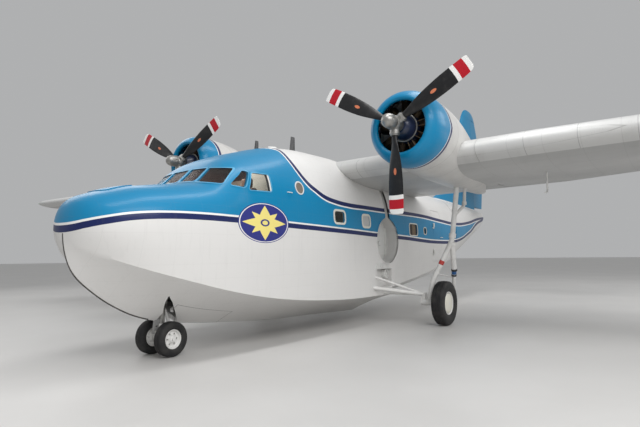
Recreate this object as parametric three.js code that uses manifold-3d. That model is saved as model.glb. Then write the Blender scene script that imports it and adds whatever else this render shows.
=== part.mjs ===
// Twin-engined amphibious flying boat, parked on its wheels.
// Millimetres. X runs aft from the nose, Y to starboard, Z up from the ground.
import * as THREE from "three";
import { mergeVertices } from "three/addons/utils/BufferGeometryUtils.js";
import Module from "manifold-3d";

const wasm = await Module();
wasm.setup();

// Overall sizes
const LENGTH = 19150;
const HALF_SPAN = 14730;
const SEAT_GAP = 0.4;

// Hull
const STEP_X = 7780;
const BOW_JOINT_X = 1200;
const COCKPIT_AFT_X = 4150;
const CABIN_AFT_X = 11900;
const TAIL_END_X = 18850;
const COCKPIT_FLOOR_Z = 1850;
const CABIN_FLOOR_Z = 1350;
const ROOF_JOINT_Z = 3050;
const SKIN = 80;
const TAIL_SKIN = 45;
const FLOOR_PANEL = 8;
const BULKHEAD = 40;
const GLASS = 8;

// Wing
const WING_LE_X = 5900;
const WING_CHORD = 3950;
const TIP_CHORD = 1850;
const TAPER_Y = 5100;
const WING_LE_Z = 3620;
const DIHEDRAL = Math.tan(THREE.MathUtils.degToRad(1.2));
const INCIDENCE = Math.tan(THREE.MathUtils.degToRad(4.6));
const WING_THICKNESS = 0.17;
const CAMBER = 0.02;
const HINGE_FRACTION = 0.76;
const COVE_GAP = 10;
const FLAP_COVE_GAP = 24;
const END_GAP = 22;

// Engines and propellers
const ENGINE_Y = 3050;
const THRUST_Z = 4050;
const PROP_X = 4480;
const PROP_RADIUS = 1676;
const COWL_TAIL_X = 5420;
const COWL_RADIUS = 740;
const COWL_MOUTH = 485;

// Landing gear
const MAIN_X = 7530;
const MAIN_Y = 2690;
const MAIN_TYRE_RADIUS = 508;
const MAIN_TYRE_WIDTH = 300;
const MAIN_RIM_RADIUS = 265;
const NOSE_X = 1720;
const NOSE_WHEEL_Y = 250;
const NOSE_TYRE_RADIUS = 290;
const NOSE_TYRE_WIDTH = 185;
const NOSE_RIM_RADIUS = 160;
const BEARING_GAP = 0.5;

// Tail
const TAILPLANE_Z = 4550;
const TAILPLANE_HALF_SPAN = 4725;
const RUDDER_HINGE_X = 17620;
const ELEVATOR_HINGE_X = 17350;

const COLOURS = {
  hullWhite: [0xd9d7d4, 0.35, 0],
  skyBlue: [0x0a8fc8, 0.3, 0],
  wingSilver: [0xb9b9b6, 0.4, 0.3],
  propBlack: [0x1c1c1e, 0.45, 0.2],
  engineGrey: [0x55524e, 0.5, 0.6],
  gearWhite: [0xe4e3df, 0.4, 0],
  tyre: [0x191a1b, 0.85, 0],
  glass: [0x7d8b8f, 0.1, 0],
  interior: [0x8c8676, 0.7, 0],
  seatBrown: [0x6b4a35, 0.8, 0],
  antenna: [0x202024, 0.6, 0],
};

const aircraft = new THREE.Group();
aircraft.position.x = -LENGTH / 2;

// Solids

function solidOf(geometry) {
  const bare = geometry.index ? geometry.toNonIndexed() : geometry.clone();
  bare.deleteAttribute("normal");
  bare.deleteAttribute("uv");
  const merged = mergeVertices(bare, 0.01);
  const vertProperties = new Float32Array(merged.attributes.position.array);
  const triVerts = new Uint32Array(merged.index.array);
  return new wasm.Manifold(new wasm.Mesh({ numProp: 3, vertProperties, triVerts }));
}

function geometryOf(solid) {
  const mesh = solid.getMesh();
  const geometry = new THREE.BufferGeometry();
  geometry.setAttribute("position", new THREE.BufferAttribute(new Float32Array(mesh.vertProperties), 3));
  geometry.setIndex(new THREE.BufferAttribute(new Uint32Array(mesh.triVerts), 1));
  return geometry;
}

function join(...solids) {
  return solids.reduce((whole, next) => whole.add(next));
}

function addPiece(name, solid, colour) {
  const [color, roughness, metalness] = COLOURS[colour];
  const material = new THREE.MeshStandardMaterial({ color, roughness, metalness });
  const mesh = new THREE.Mesh(geometryOf(solid), material);
  mesh.name = name;
  aircraft.add(mesh);
}

function box([x0, x1], [y0, y1], [z0, z1]) {
  const geometry = new THREE.BoxGeometry(x1 - x0, Math.abs(y1 - y0), z1 - z0);
  geometry.translate((x0 + x1) / 2, (y0 + y1) / 2, (z0 + z1) / 2);
  return solidOf(geometry);
}

// A closed surface through rings of equal point counts, with flat ends
function loft(rings) {
  const count = rings[0].length;
  const index = [];
  for (let ring = 0; ring + 1 < rings.length; ring++) {
    for (let point = 0; point < count; point++) {
      const a = ring * count + point;
      const b = ring * count + ((point + 1) % count);
      index.push(a, b, b + count, a, b + count, a + count);
    }
  }
  capOf(rings[0]).forEach(([a, b, c]) => index.push(a, c, b));
  const last = (rings.length - 1) * count;
  capOf(rings[rings.length - 1]).forEach(([a, b, c]) => index.push(a + last, b + last, c + last));
  const points = rings.flat();
  let volume = 0;
  for (let i = 0; i < index.length; i += 3) {
    const [a, b, c] = index.slice(i, i + 3).map((vertex) => points[vertex]);
    volume += a.dot(new THREE.Vector3().crossVectors(b, c));
  }
  const facing = volume > 0 ? index : index.reverse();
  const geometry = new THREE.BufferGeometry();
  geometry.setAttribute("position", new THREE.Float32BufferAttribute(points.flatMap((p) => p.toArray()), 3));
  geometry.setIndex(facing);
  return solidOf(geometry);
}

// Triangles across one planar ring, wound the same way as the ring
function capOf(ring) {
  const normal = new THREE.Vector3();
  ring.forEach((p, i) => normal.add(new THREE.Vector3().crossVectors(p, ring[(i + 1) % ring.length])));
  const turn = new THREE.Quaternion().setFromUnitVectors(normal.normalize(), new THREE.Vector3(0, 0, 1));
  const flat = ring.map((p) => p.clone().applyQuaternion(turn)).map((p) => new THREE.Vector2(p.x, p.y));
  return THREE.ShapeUtils.triangulateShape(flat, []);
}

function tube(from, to, radius, sides = 12, endRadius = radius, start = 0) {
  const a = new THREE.Vector3(...from);
  const b = new THREE.Vector3(...to);
  const geometry = new THREE.CylinderGeometry(endRadius, radius, a.distanceTo(b), sides, 1, false, start);
  const direction = b.clone().sub(a).normalize();
  geometry.applyQuaternion(new THREE.Quaternion().setFromUnitVectors(new THREE.Vector3(0, 1, 0), direction));
  geometry.translate(...a.add(b).multiplyScalar(0.5).toArray());
  return solidOf(geometry);
}

// A tube through bends, mitred at each bend
function bentTube(points, radius, sides = 8) {
  const path = points.map((point) => new THREE.Vector3(...point));
  const runs = path.slice(1).map((point, i) => point.clone().sub(path[i]).normalize());
  const side = new THREE.Vector3(0, 1, 0).cross(runs[0]).normalize();
  const across = side.lengthSq() > 0.5 ? side : new THREE.Vector3(1, 0, 0);
  const rings = path.map((point, i) => {
    const facing = runs[Math.max(0, i - 1)].clone().add(runs[Math.min(i, runs.length - 1)]).normalize();
    const u = across.clone().addScaledVector(facing, -across.dot(facing)).normalize();
    const v = new THREE.Vector3().crossVectors(facing, u);
    return Array.from({ length: sides }, (_, corner) => {
      const t = (corner / sides) * 2 * Math.PI;
      return point.clone().addScaledVector(u, radius * Math.cos(t)).addScaledVector(v, radius * Math.sin(t));
    });
  });
  return loft(rings);
}

// A solid of revolution about a line along X or Y through a centre; profile rows are [along, radius]
function turned(profile, axis, [x, y, z], segments) {
  const outline = profile.map(([along, radius]) => new THREE.Vector2(radius, along));
  const geometry = new THREE.LatheGeometry(outline, segments);
  if (axis === "x") geometry.rotateZ(-Math.PI / 2);
  geometry.translate(x, y, z);
  const solid = solidOf(geometry);
  return solid.volume() > 0 ? solid : solidOf(flipped(geometry));
}

function flipped(geometry) {
  const turnedOut = geometry.toNonIndexed();
  const position = turnedOut.attributes.position;
  for (let i = 0; i < position.count; i += 3) {
    const second = new THREE.Vector3().fromBufferAttribute(position, i + 1);
    const third = new THREE.Vector3().fromBufferAttribute(position, i + 2);
    position.setXYZ(i + 1, ...third.toArray());
    position.setXYZ(i + 2, ...second.toArray());
  }
  return turnedOut;
}

// An outline in the X-Z plane drawn out along Y
function sideCut(outline, [y0, y1]) {
  const ring = (y) => outline.map(([x, z]) => new THREE.Vector3(x, y, z));
  return loft([ring(y0), ring(y1)]);
}

// An outline in the Y-Z plane drawn out along X
function frontCut(outline, [x0, x1]) {
  const ring = (x) => outline.map(([y, z]) => new THREE.Vector3(x, y, z));
  return loft([ring(x0), ring(x1)]);
}

// An outline in the X-Y plane drawn out along Z
function uprightCut(outline, [z0, z1]) {
  const ring = (z) => outline.map(([x, y]) => new THREE.Vector3(x, y, z));
  return loft([ring(z0), ring(z1)]);
}

// Radius of a regular polygon whose flats clear a round shaft
function boreRadius(shaft, sides) {
  return (shaft + BEARING_GAP) / Math.cos(Math.PI / sides);
}

// A bore for a shaft of the same number of sides, with its flats facing the shaft's edges
function boreTube(from, to, shaft, sides = 12) {
  const radius = boreRadius(shaft, sides);
  return tube(from, to, radius, sides, radius, Math.PI / sides);
}

// Hull sections: heights of keel, chine, widest line and crown, half widths there, squareness of the crown
const FORE_SECTIONS = [
  // x, keel, chine, chineHalf, beamZ, beamHalf, top, square
  [0, 1830, 1900, 110, 2080, 210, 2330, 2.0],
  [130, 1460, 1760, 330, 2080, 520, 2510, 2.2],
  [430, 1150, 1610, 640, 2080, 810, 2640, 2.4],
  [790, 900, 1470, 850, 2080, 990, 2745, 2.6],
  [1200, 700, 1340, 1000, 2080, 1095, 2810, 2.8],
  [1610, 580, 1225, 1095, 2080, 1160, 2870, 3.0],
  [1980, 515, 1125, 1150, 2080, 1195, 2925, 3.4],
  [2450, 455, 1020, 1190, 2080, 1225, 3350, 3.6],
  [2840, 415, 945, 1205, 2080, 1240, 3550, 3.0],
  [3280, 375, 875, 1215, 2080, 1245, 3690, 2.8],
  [4150, 310, 775, 1220, 2080, 1250, 3920, 2.6],
  [5000, 272, 712, 1220, 2080, 1250, 4000, 2.5],
  [5900, 250, 668, 1220, 2080, 1250, 4010, 2.5],
  [STEP_X, 180, 650, 1220, 2080, 1250, 3900, 2.5],
];
const AFT_SECTIONS = [
  // x, keel, chine, chineHalf, beamZ, beamHalf, top, square
  [STEP_X, 340, 830, 1215, 2080, 1250, 3900, 2.5],
  [9900, 560, 1070, 1150, 2100, 1235, 3740, 2.5],
  [11900, 800, 1330, 960, 2180, 1120, 3660, 2.4],
  [13000, 945, 1490, 800, 2260, 1010, 3625, 2.3],
  [13080, 1090, 1560, 740, 2265, 1000, 3622, 2.3],
  [14600, 1480, 1850, 520, 2420, 810, 3590, 2.2],
  [16400, 2060, 2290, 300, 2660, 560, 3555, 2.1],
  [18000, 2660, 2790, 150, 2960, 300, 3520, 2.0],
  [TAIL_END_X, 3040, 3090, 60, 3200, 130, 3480, 2.0],
];
const BOTTOM_STEPS = [0, 0.4, 0.75, 1];
const HOLLOW = 0.07;
const SIDE_STEPS = [0.35, 0.7, 1];
const CROWN_ANGLES = [14, 28, 42, 56, 70, 80, 90];

function hullRing([x, keel, chine, chineHalf, beamZ, beamHalf, top, square], inset) {
  const half = [];
  BOTTOM_STEPS.forEach((s) => {
    const hollow = HOLLOW * Math.sin(Math.PI * s);
    half.push([s * (chineHalf - inset), keel + inset + (chine - keel) * (s + hollow)]);
  });
  SIDE_STEPS.forEach((s) => {
    const bulge = Math.sin((s * Math.PI) / 2);
    const z = chine + inset + (beamZ - chine - inset) * s;
    half.push([chineHalf - inset + (beamHalf - chineHalf) * bulge, z]);
  });
  CROWN_ANGLES.forEach((angle) => {
    const t = THREE.MathUtils.degToRad(angle);
    const across = angle === 90 ? 0 : Math.cos(t) ** (2 / square);
    half.push([(beamHalf - inset) * across, beamZ + (top - inset - beamZ) * Math.sin(t) ** (2 / square)]);
  });
  const starboard = half.map(([y, z]) => new THREE.Vector3(x, y, z));
  const port = half.slice(1, -1).reverse().map(([y, z]) => new THREE.Vector3(x, -y, z));
  return [...starboard, ...port];
}

// The hollow of the tail cone, behind the cabin's aft bulkhead
function tailHollow() {
  const rows = AFT_SECTIONS.filter(([x]) => x >= CABIN_AFT_X && x < TAIL_END_X);
  return loft(rows.map((section) => hullRing(section, TAIL_SKIN)));
}

function hullSolid(inset) {
  const fore = loft(FORE_SECTIONS.slice(inset ? 5 : 0).map((section) => hullRing(section, inset)));
  const aft = loft(AFT_SECTIONS.slice(0, inset ? 4 : undefined).map((section) => hullRing(section, inset)));
  return join(fore, aft);
}

// Wing sections

function wingAt(y) {
  const t = Math.max(0, (Math.abs(y) - TAPER_Y) / (HALF_SPAN - TAPER_Y));
  const chord = WING_CHORD + (TIP_CHORD - WING_CHORD) * t;
  return { x: WING_LE_X + 0.25 * (WING_CHORD - chord), chord, z: WING_LE_Z + DIHEDRAL * Math.abs(y) };
}

// Thickness polynomial of the four-digit aerofoils, in rising powers after the square root
const AEROFOIL_TERMS = [0.2969, -0.126, -0.3516, 0.2843, -0.1015];

function halfThickness(fraction, thickness) {
  const [root, first, second, third, fourth] = AEROFOIL_TERMS;
  const f = fraction;
  const powers = first * f + second * f ** 2 + third * f ** 3 + fourth * f ** 4;
  return 5 * thickness * (root * Math.sqrt(f) + powers);
}

const CHORD_STEPS = [1, 0.88, 0.74, 0.58, 0.42, 0.27, 0.14, 0.05, 0.012, 0];

// Aerofoil points as [chord fraction, height fraction] from the tail over the top and back below
function aerofoil(thickness, camber, steps = CHORD_STEPS) {
  const middle = (f) => 4 * camber * f * (1 - f);
  const upper = steps.map((f) => [f, middle(f) + halfThickness(f, thickness)]);
  const lower = steps.slice(0, -1).reverse().map((f) => [f, middle(f) - halfThickness(f, thickness)]);
  return [...upper, ...lower];
}

function wingRing(y, grow = 0, scale = 1) {
  const { x, chord, z } = wingAt(y);
  return aerofoil(WING_THICKNESS * scale, CAMBER * scale).map(([f, h]) => {
    const swell = h > 0 ? grow : -grow;
    const along = x + f * chord - (f === 0 ? grow : 0);
    return new THREE.Vector3(along, y, z - INCIDENCE * f * chord + h * chord + swell);
  });
}

function wingSolid(y0, y1, grow = 0) {
  const breaks = [-TAPER_Y, 0, TAPER_Y].filter((y) => y > y0 && y < y1);
  return loft([y0, ...breaks, y1].map((y) => wingRing(y, grow)));
}

// Hinged surfaces. A frame tells where the hinge runs: for a station along the span it gives the axis point,
// the nose radius, the trailing edge, and the unit direction of thickness.

function wingHinge(y) {
  const { x, chord, z } = wingAt(y);
  const camber = 4 * CAMBER * HINGE_FRACTION * (1 - HINGE_FRACTION);
  return {
    span: y,
    axisX: x + HINGE_FRACTION * chord,
    axisZ: z - INCIDENCE * HINGE_FRACTION * chord + camber * chord,
    nose: halfThickness(HINGE_FRACTION, WING_THICKNESS) * chord * 0.97,
    tailX: x + chord,
    tailZ: z - INCIDENCE * chord,
    tailHalf: 0.0018 * chord,
    place: (along, across) => new THREE.Vector3(along, y, across),
  };
}

const NOSE_ANGLES = [80, 110, 140, 180, 220, 250, 280];

function surfaceRing({ axisX, axisZ, nose, tailX, tailZ, tailHalf, place }) {
  const arc = NOSE_ANGLES.map((angle) => {
    const t = THREE.MathUtils.degToRad(angle);
    return place(axisX + nose * Math.cos(t), axisZ + nose * Math.sin(t));
  });
  return [place(tailX, tailZ + tailHalf), ...arc, place(tailX, tailZ - tailHalf)];
}

const COVE_ANGLES = [90, 115, 140, 160, 180, 200, 220, 245, 270];
const COVE_SWELL = 1.01;
const COVE_AFT = 300;

function coveRing({ axisX, axisZ, nose, tailX, place }, gap = COVE_GAP) {
  const reach = (nose + gap) * COVE_SWELL;
  const arc = COVE_ANGLES.map((angle) => {
    const t = THREE.MathUtils.degToRad(angle);
    return place(axisX + reach * Math.cos(t), axisZ + reach * Math.sin(t));
  });
  const aft = tailX + COVE_AFT;
  return [place(aft, axisZ + reach * 2), ...arc, place(aft, axisZ - reach * 2)];
}

// Pins on the hinge axis, from the fixed structure into sockets in the ends of the moving surface
const PIN_RADIUS = 20;
const PIN_REACH = 60;
const PIN_SIDES = 12;
const PIN_ROOT = 30;
const SOCKET_SPARE = 15;

function hingePins(axisAt, inner, outer) {
  const direction = Math.sign(outer - inner);
  const pin = (from, to) => tube(axisAt(from), axisAt(to), PIN_RADIUS, PIN_SIDES);
  const socket = (from, to) => boreTube(axisAt(from), axisAt(to), PIN_RADIUS, PIN_SIDES);
  const root = direction * (END_GAP + PIN_ROOT);
  const reach = direction * PIN_REACH;
  const deep = direction * (PIN_REACH + SOCKET_SPARE);
  const mouth = direction * END_GAP;
  return {
    pins: [pin(inner - root, inner + reach), pin(outer + root, outer - reach)],
    sockets: [socket(inner - mouth, inner + deep), socket(outer + mouth, outer - deep)],
  };
}

// Flaps and ailerons: inner and outer ends on each side, and the gap round the nose
const WING_SURFACES = [
  // name, inner, outer, gap
  ["flap_inner", 1420, 2380, FLAP_COVE_GAP],
  ["flap_outer", 3640, 5040, FLAP_COVE_GAP],
  ["aileron", 8200, 14050, COVE_GAP],
];

function wingSurface(inner, outer, gap) {
  const axisAt = (y) => {
    const a = wingHinge(inner);
    const b = wingHinge(outer);
    const t = (y - inner) / (outer - inner);
    return [a.axisX + (b.axisX - a.axisX) * t, y, a.axisZ + (b.axisZ - a.axisZ) * t];
  };
  const { pins, sockets } = hingePins(axisAt, inner, outer);
  const direction = Math.sign(outer - inner);
  const ends = [inner - direction * END_GAP, outer + direction * END_GAP];
  const cove = loft(ends.map((y) => coveRing(wingHinge(y), gap)));
  const surface = loft([inner, outer].map((y) => surfaceRing(wingHinge(y))));
  return { surface: surface.subtract(join(...sockets)), cove, pins: join(...pins) };
}

// The last part of the wing rounds off towards the tip
const TIP_START = 14230;
const WING_TIP_RINGS = [
  // y, share of the full thickness
  [TIP_START, 1],
  [14550, 0.8],
  [HALF_SPAN, 0.3],
];

function wingTip(side) {
  return loft(WING_TIP_RINGS.map(([y, scale]) => wingRing(side * y, 0, scale)));
}

// The wing's room in the hull and nacelles
const ENVELOPE_Y = 6000;
const envelope = wingSolid(-ENVELOPE_Y, ENVELOPE_Y, SEAT_GAP);

function buildWing() {
  let center = wingSolid(-TAPER_Y, TAPER_Y);
  [-1, 1].forEach((side) => {
    const name = side < 0 ? "port" : "starboard";
    const root = side * (TAPER_Y + SEAT_GAP);
    let outer = join(loft([wingRing(root), wingRing(side * TIP_START)]), wingTip(side));
    WING_SURFACES.forEach(([surface, inner, end, gap]) => {
      const built = wingSurface(side * inner, side * end, gap);
      if (inner < TAPER_Y) center = center.subtract(built.cove).add(built.pins);
      else outer = outer.subtract(built.cove).add(built.pins);
      addPiece(`${surface}_${name}`, built.surface, "wingSilver");
    });
    addPiece(`wing_outer_${name}`, outer, "wingSilver");
  });
  addPiece("wing_center", center, "wingSilver");
}

// Hull, decks and cabin

const CABIN_WINDOWS = [
  // x0, x1, z0, z1
  [5170, 5560, 2345, 2585],
  [6340, 6650, 2310, 2550],
  [8840, 9340, 2170, 2470],
  [9790, 9970, 2220, 2400],
];
const DOOR = { x0: 10560, x1: 11340, z0: 1430, z1: 2960 };
const WELL = { x: MAIN_X + 20, z: 1990, radius: 570, depth: 330, wall: 40 };
const WELL_SLOT = { x: MAIN_X + 40, half: 112, foot: 2580, top: 3900 };
// The shallow recess under each wheel well, where the truss is fixed
const TRUSS_RECESS = { x: [6960, 7730], inner: 1060, z: [850, 1290] };
const HULL_SIDE_Y = 1250;
const OUTSIDE_Y = 1400;

// The wheel well in the hull side: a round recess with a slot running up for the leg
function wellSolid(side, radius, depth, slotHalf) {
  const reach = [side * (HULL_SIDE_Y - depth), side * OUTSIDE_Y];
  const [inner, out] = reach;
  const round = tube([WELL.x, inner, WELL.z], [WELL.x, out, WELL.z], radius, 20);
  const neckHalf = radius * 0.9;
  const neckZ = WELL.z + radius * 0.4;
  const neck = [
    [WELL.x - neckHalf, neckZ],
    [WELL.x + neckHalf, neckZ],
    [WELL_SLOT.x + slotHalf, WELL_SLOT.foot],
    [WELL_SLOT.x + slotHalf, WELL_SLOT.top],
    [WELL_SLOT.x - slotHalf, WELL_SLOT.top],
    [WELL_SLOT.x - slotHalf, WELL_SLOT.foot],
  ];
  return join(round, sideCut(neck, reach));
}

const COCKPIT_SIDE_WINDOWS = [
  [[2227, 2846], [2561, 3144], [2704, 3120], [2504, 2817]],
  [[2588, 2789], [2767, 3122], [3205, 3133], [3190, 2813]],
];
const WINDSCREEN_PANES = [
  // corners seen from ahead, as [y, z]
  [[30, 2965], [30, 3225], [448, 3210], [465, 2942]],
  [[515, 2929], [490, 3204], [962, 3170], [1025, 2863]],
];
const WINDSCREEN_CUT_X = [1850, 2560];
const SIDE_CUT_Y = 800;
const GLASS_BAND = { x: [1960, 3230], y: [-1300, 1300], z: [2765, 3250] };
const COCKPIT_HOLLOW_X = 1640;
const FLOOR_LIP = 50;
const WHOLE_Y = [-2000, 2000];
const BELOW_Z = 0;
const ABOVE_Z = 5000;
const SPARE = 10;
const NOSE_WELL = { x: [1250, 2950], y: [-460, 460], z: [BELOW_Z, 1520] };
// Seen from above: the notch that is left round the nose strut while the well doors are shut
const NOTCH_MIDDLE = [[1600, -190], [1796, -260], [1990, -60], [1990, 60], [1796, 260], [1600, 190]];
const NOTCH_ARM = [[1600, 190], [1475, 406], [1430, 564], [1585, 454], [1796, 260]];
const NOTCH_Z = [BELOW_Z, 1250];
const FLOOR_PANEL_X = [4500, 6800];
const FLOOR_PANEL_Y = [-900, 900];
const AFT_HATCH = { y: [-280, 280], z: [1500, 2900] };
const DOORWAY = { y: [-330, 330], z: [COCKPIT_FLOOR_Z, 3500] };
const WALL_INNER_Y = 300;
const DOOR_GAP = 8;

function noseNotch() {
  const arm = (side) => NOTCH_ARM.map(([x, y]) => [x, side * y]);
  return join(...[NOTCH_MIDDLE, arm(1), arm(-1)].map((outline) => uprightCut(outline, NOTCH_Z)));
}

function trussRecess(side) {
  const across = side < 0 ? [-OUTSIDE_Y, -TRUSS_RECESS.inner] : [TRUSS_RECESS.inner, OUTSIDE_Y];
  return box(TRUSS_RECESS.x, across, TRUSS_RECESS.z);
}

function buildHull() {
  const outer = hullSolid(0);
  const inner = hullSolid(SKIN);
  const within = (x, z) => outer.intersect(box(x, WHOLE_Y, z));

  addPiece("bow", within([-100, BOW_JOINT_X], [BELOW_Z, ABOVE_Z]), "skyBlue");

  const noseRoom = inner.intersect(box(NOSE_WELL.x, NOSE_WELL.y, NOSE_WELL.z));
  const forebody = join(
    within([BOW_JOINT_X + SEAT_GAP, COCKPIT_AFT_X], [BELOW_Z, COCKPIT_FLOOR_Z]),
    within([COCKPIT_AFT_X - 1, STEP_X], [BELOW_Z, CABIN_FLOOR_Z])
  ).subtract(join(noseRoom, noseNotch(), ...[-1, 1].map(trussRecess)));
  const panelZ = [CABIN_FLOOR_Z - 1, CABIN_FLOOR_Z + FLOOR_PANEL];
  addPiece("hull_forebody", join(forebody, box(FLOOR_PANEL_X, FLOOR_PANEL_Y, panelZ)), "hullWhite");

  const bilgeRoom = box([STEP_X + SKIN, CABIN_AFT_X + SPARE], WHOLE_Y, [BELOW_Z, CABIN_FLOOR_Z - SKIN]);
  const afterbody = within([STEP_X + SEAT_GAP, CABIN_AFT_X], [BELOW_Z, CABIN_FLOOR_Z]);
  addPiece("hull_afterbody", afterbody.subtract(inner.intersect(bilgeRoom)), "hullWhite");

  const aftBulkhead = within([CABIN_AFT_X + SEAT_GAP, CABIN_AFT_X + BULKHEAD], [BELOW_Z, ABOVE_Z]);
  const aftHatch = box([CABIN_AFT_X - BULKHEAD, CABIN_AFT_X + 2 * BULKHEAD], AFT_HATCH.y, AFT_HATCH.z);
  const tailShell = within([CABIN_AFT_X + SEAT_GAP, LENGTH], [BELOW_Z, ABOVE_Z]).subtract(tailHollow());
  addPiece("tail_body", join(tailShell, aftBulkhead, rudderPin()).subtract(aftHatch), "hullWhite");

  const cockpitX = [BOW_JOINT_X + SEAT_GAP, COCKPIT_AFT_X];
  const cockpitRoom = box(
    [COCKPIT_HOLLOW_X, COCKPIT_AFT_X + SPARE],
    WHOLE_Y,
    [COCKPIT_FLOOR_Z - FLOOR_LIP, ABOVE_Z]
  );
  const cockpitBlock = within(cockpitX, [COCKPIT_FLOOR_Z + SEAT_GAP, ABOVE_Z]);
  let cockpit = cockpitBlock.subtract(inner.intersect(cockpitRoom));
  [-1, 1].forEach((side) => {
    COCKPIT_SIDE_WINDOWS.forEach((outline) => {
      cockpit = cockpit.subtract(sideCut(outline, [side * SIDE_CUT_Y, side * OUTSIDE_Y]));
    });
    WINDSCREEN_PANES.forEach((outline) => {
      const corners = outline.map(([y, z]) => [side * y, z]);
      cockpit = cockpit.subtract(frontCut(corners, WINDSCREEN_CUT_X));
    });
  });
  addPiece("cockpit_shell", cockpit, "skyBlue");

  const band = box(GLASS_BAND.x, GLASS_BAND.y, GLASS_BAND.z);
  const glassOuter = hullSolid(SKIN + SEAT_GAP);
  const glass = glassOuter.subtract(hullSolid(SKIN + SEAT_GAP + GLASS)).intersect(band);
  addPiece("cockpit_glass", glass, "glass");

  const shell = outer.subtract(inner);
  const aboveFloor = box([0, CABIN_AFT_X], WHOLE_Y, [CABIN_FLOOR_Z + SEAT_GAP, ABOVE_Z]);
  const wellRooms = [-1, 1].map((side) => {
    const name = side < 0 ? "port" : "starboard";
    const grown = (by) => wellSolid(side, WELL.radius + by, WELL.depth + by, WELL_SLOT.half + by);
    const tub = grown(WELL.wall).intersect(outer).subtract(grown(0)).subtract(envelope).intersect(aboveFloor);
    addPiece(`wheel_well_${name}`, largest(tub), "hullWhite");
    return grown(WELL.wall + SEAT_GAP);
  });
  const cabinX = [COCKPIT_AFT_X + SEAT_GAP, CABIN_AFT_X];
  const roofBox = box(cabinX, WHOLE_Y, [ROOF_JOINT_Z + SEAT_GAP, ABOVE_Z]);
  const roof = shell.subtract(join(...wellRooms)).subtract(envelope).intersect(roofBox);
  addPiece("cabin_roof", largest(roof), "hullWhite");

  [-1, 1].forEach((side) => {
    const name = side < 0 ? "port" : "starboard";
    const reach = side < 0 ? [WHOLE_Y[0], -WALL_INNER_Y] : [WALL_INNER_Y, WHOLE_Y[1]];
    const wallBox = box(cabinX, reach, [CABIN_FLOOR_Z + SEAT_GAP, ROOF_JOINT_Z]);
    let wall = shell.subtract(wellRooms[side < 0 ? 0 : 1]).intersect(wallBox);
    CABIN_WINDOWS.forEach(([x0, x1, z0, z1]) => {
      wall = wall.subtract(box([x0, x1], reach, [z0, z1]));
    });
    if (side < 0) {
      const openingZ = [DOOR.z0 - DOOR_GAP, DOOR.z1 + DOOR_GAP];
      const opening = box([DOOR.x0 - DOOR_GAP, DOOR.x1 + DOOR_GAP], reach, openingZ);
      const door = shell.intersect(box([DOOR.x0, DOOR.x1], reach, [DOOR.z0, DOOR.z1]));
      const { pin, knuckle } = doorHinges();
      wall = wall.subtract(opening).add(pin);
      addPiece("cabin_door", door.subtract(doorPinRoom()).add(knuckle), "hullWhite");
    }
    addPiece(`cabin_side_${name}`, wall, "hullWhite");
  });

  const bulkheadX = [COCKPIT_AFT_X - BULKHEAD, COCKPIT_AFT_X - SEAT_GAP];
  const bulkhead = hullSolid(SKIN + SEAT_GAP)
    .intersect(box(bulkheadX, WHOLE_Y, [COCKPIT_FLOOR_Z + SEAT_GAP, ABOVE_Z]))
    .subtract(box([bulkheadX[0] - SPARE, bulkheadX[1] + SPARE], DOORWAY.y, DOORWAY.z));
  addPiece("cockpit_bulkhead", bulkhead, "interior");
  return outer;
}

// The largest piece of a cut solid
function largest(solid) {
  return solid.decompose().reduce((best, next) => (next.volume() > best.volume() ? next : best));
}

// The cabin door hangs on two pins outside its forward edge. A foot on the wall holds each pin from below.
const DOOR_HINGE = { x: DOOR.x0 - 4, y: -1222, heights: [1700, 2500], half: 50 };
const DOOR_PIN_RADIUS = 9;
const DOOR_BARREL_RADIUS = 22;
const DOOR_FOOT = { drop: 45, gap: 5, back: 12, reach: 110, length: 60 };
const DOOR_KNUCKLE = { cap: 20, length: 70, depth: 90 };

function doorHinges() {
  const { x, y, heights, half } = DOOR_HINGE;
  const { drop, gap, back, reach, length } = DOOR_FOOT;
  const { cap, length: leaf, depth } = DOOR_KNUCKLE;
  const pins = heights.map((z) => {
    const footZ = [z - half - drop, z - half - gap];
    return join(
      tube([x, y, z - half - drop], [x, y, z + half], DOOR_PIN_RADIUS),
      box([x - 20, x + 8], [y - back, y + 8], footZ),
      box([x - length, x - 5], [y - back, y + reach], footZ)
    );
  });
  const knuckles = heights.map((z) => {
    const ring = join(
      tube([x, y, z - half], [x, y, z + half + cap], DOOR_BARREL_RADIUS),
      box([x + 2, x + leaf], [y, y + depth], [z - half, z + half + cap])
    );
    return ring.subtract(boreTube([x, y, z - half - 10], [x, y, z + half + 8], DOOR_PIN_RADIUS));
  });
  return { pin: join(...pins), knuckle: join(...knuckles) };
}

function doorPinRoom() {
  const { x, y, heights, half } = DOOR_HINGE;
  const room = (z) => tube([x, y, z - half - 60], [x, y, z + half + 8], DOOR_PIN_RADIUS + 6);
  return join(...heights.map(room));
}

// Cockpit furniture: the instrument panel with both control wheels, and a seat on each side
const SEAT_Y = 520;
const PANEL = { x: [2230, 2290], y: [-1200, 1200], z: [2330, 2760] };
const PANEL_SEAT_GAP = 0.6;
const YOKE = { x: [2520, 2545], z: 2520, outer: 170, inner: 140, column: 18 };
const SEAT_BLOCKS = [
  // x0, x1, half width, z0, z1
  [2820, 3150, 140, COCKPIT_FLOOR_Z + SEAT_GAP, 2210],
  [2760, 3260, 240, 2200, 2330],
  [3180, 3290, 230, 2250, 2930],
  [3190, 3280, 130, 2920, 3120],
];

function yokeSolid(y) {
  const [x0, x1] = YOKE.x;
  const { z, outer, inner, column } = YOKE;
  const middle = tube([x0 - SPARE, y, z], [x1 + SPARE, y, z], inner);
  const wheel = tube([x0, y, z], [x1, y, z], outer).subtract(middle);
  const reach = (outer + inner) / 2;
  const spoke = box([x0 + 2, x1 - 2], [y - reach, y + reach], [z - 15, z + 15]);
  return join(tube([PANEL.x[1] - 5, y, z], [x1 - SPARE, y, z], column, 8), wheel, spoke);
}

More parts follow.
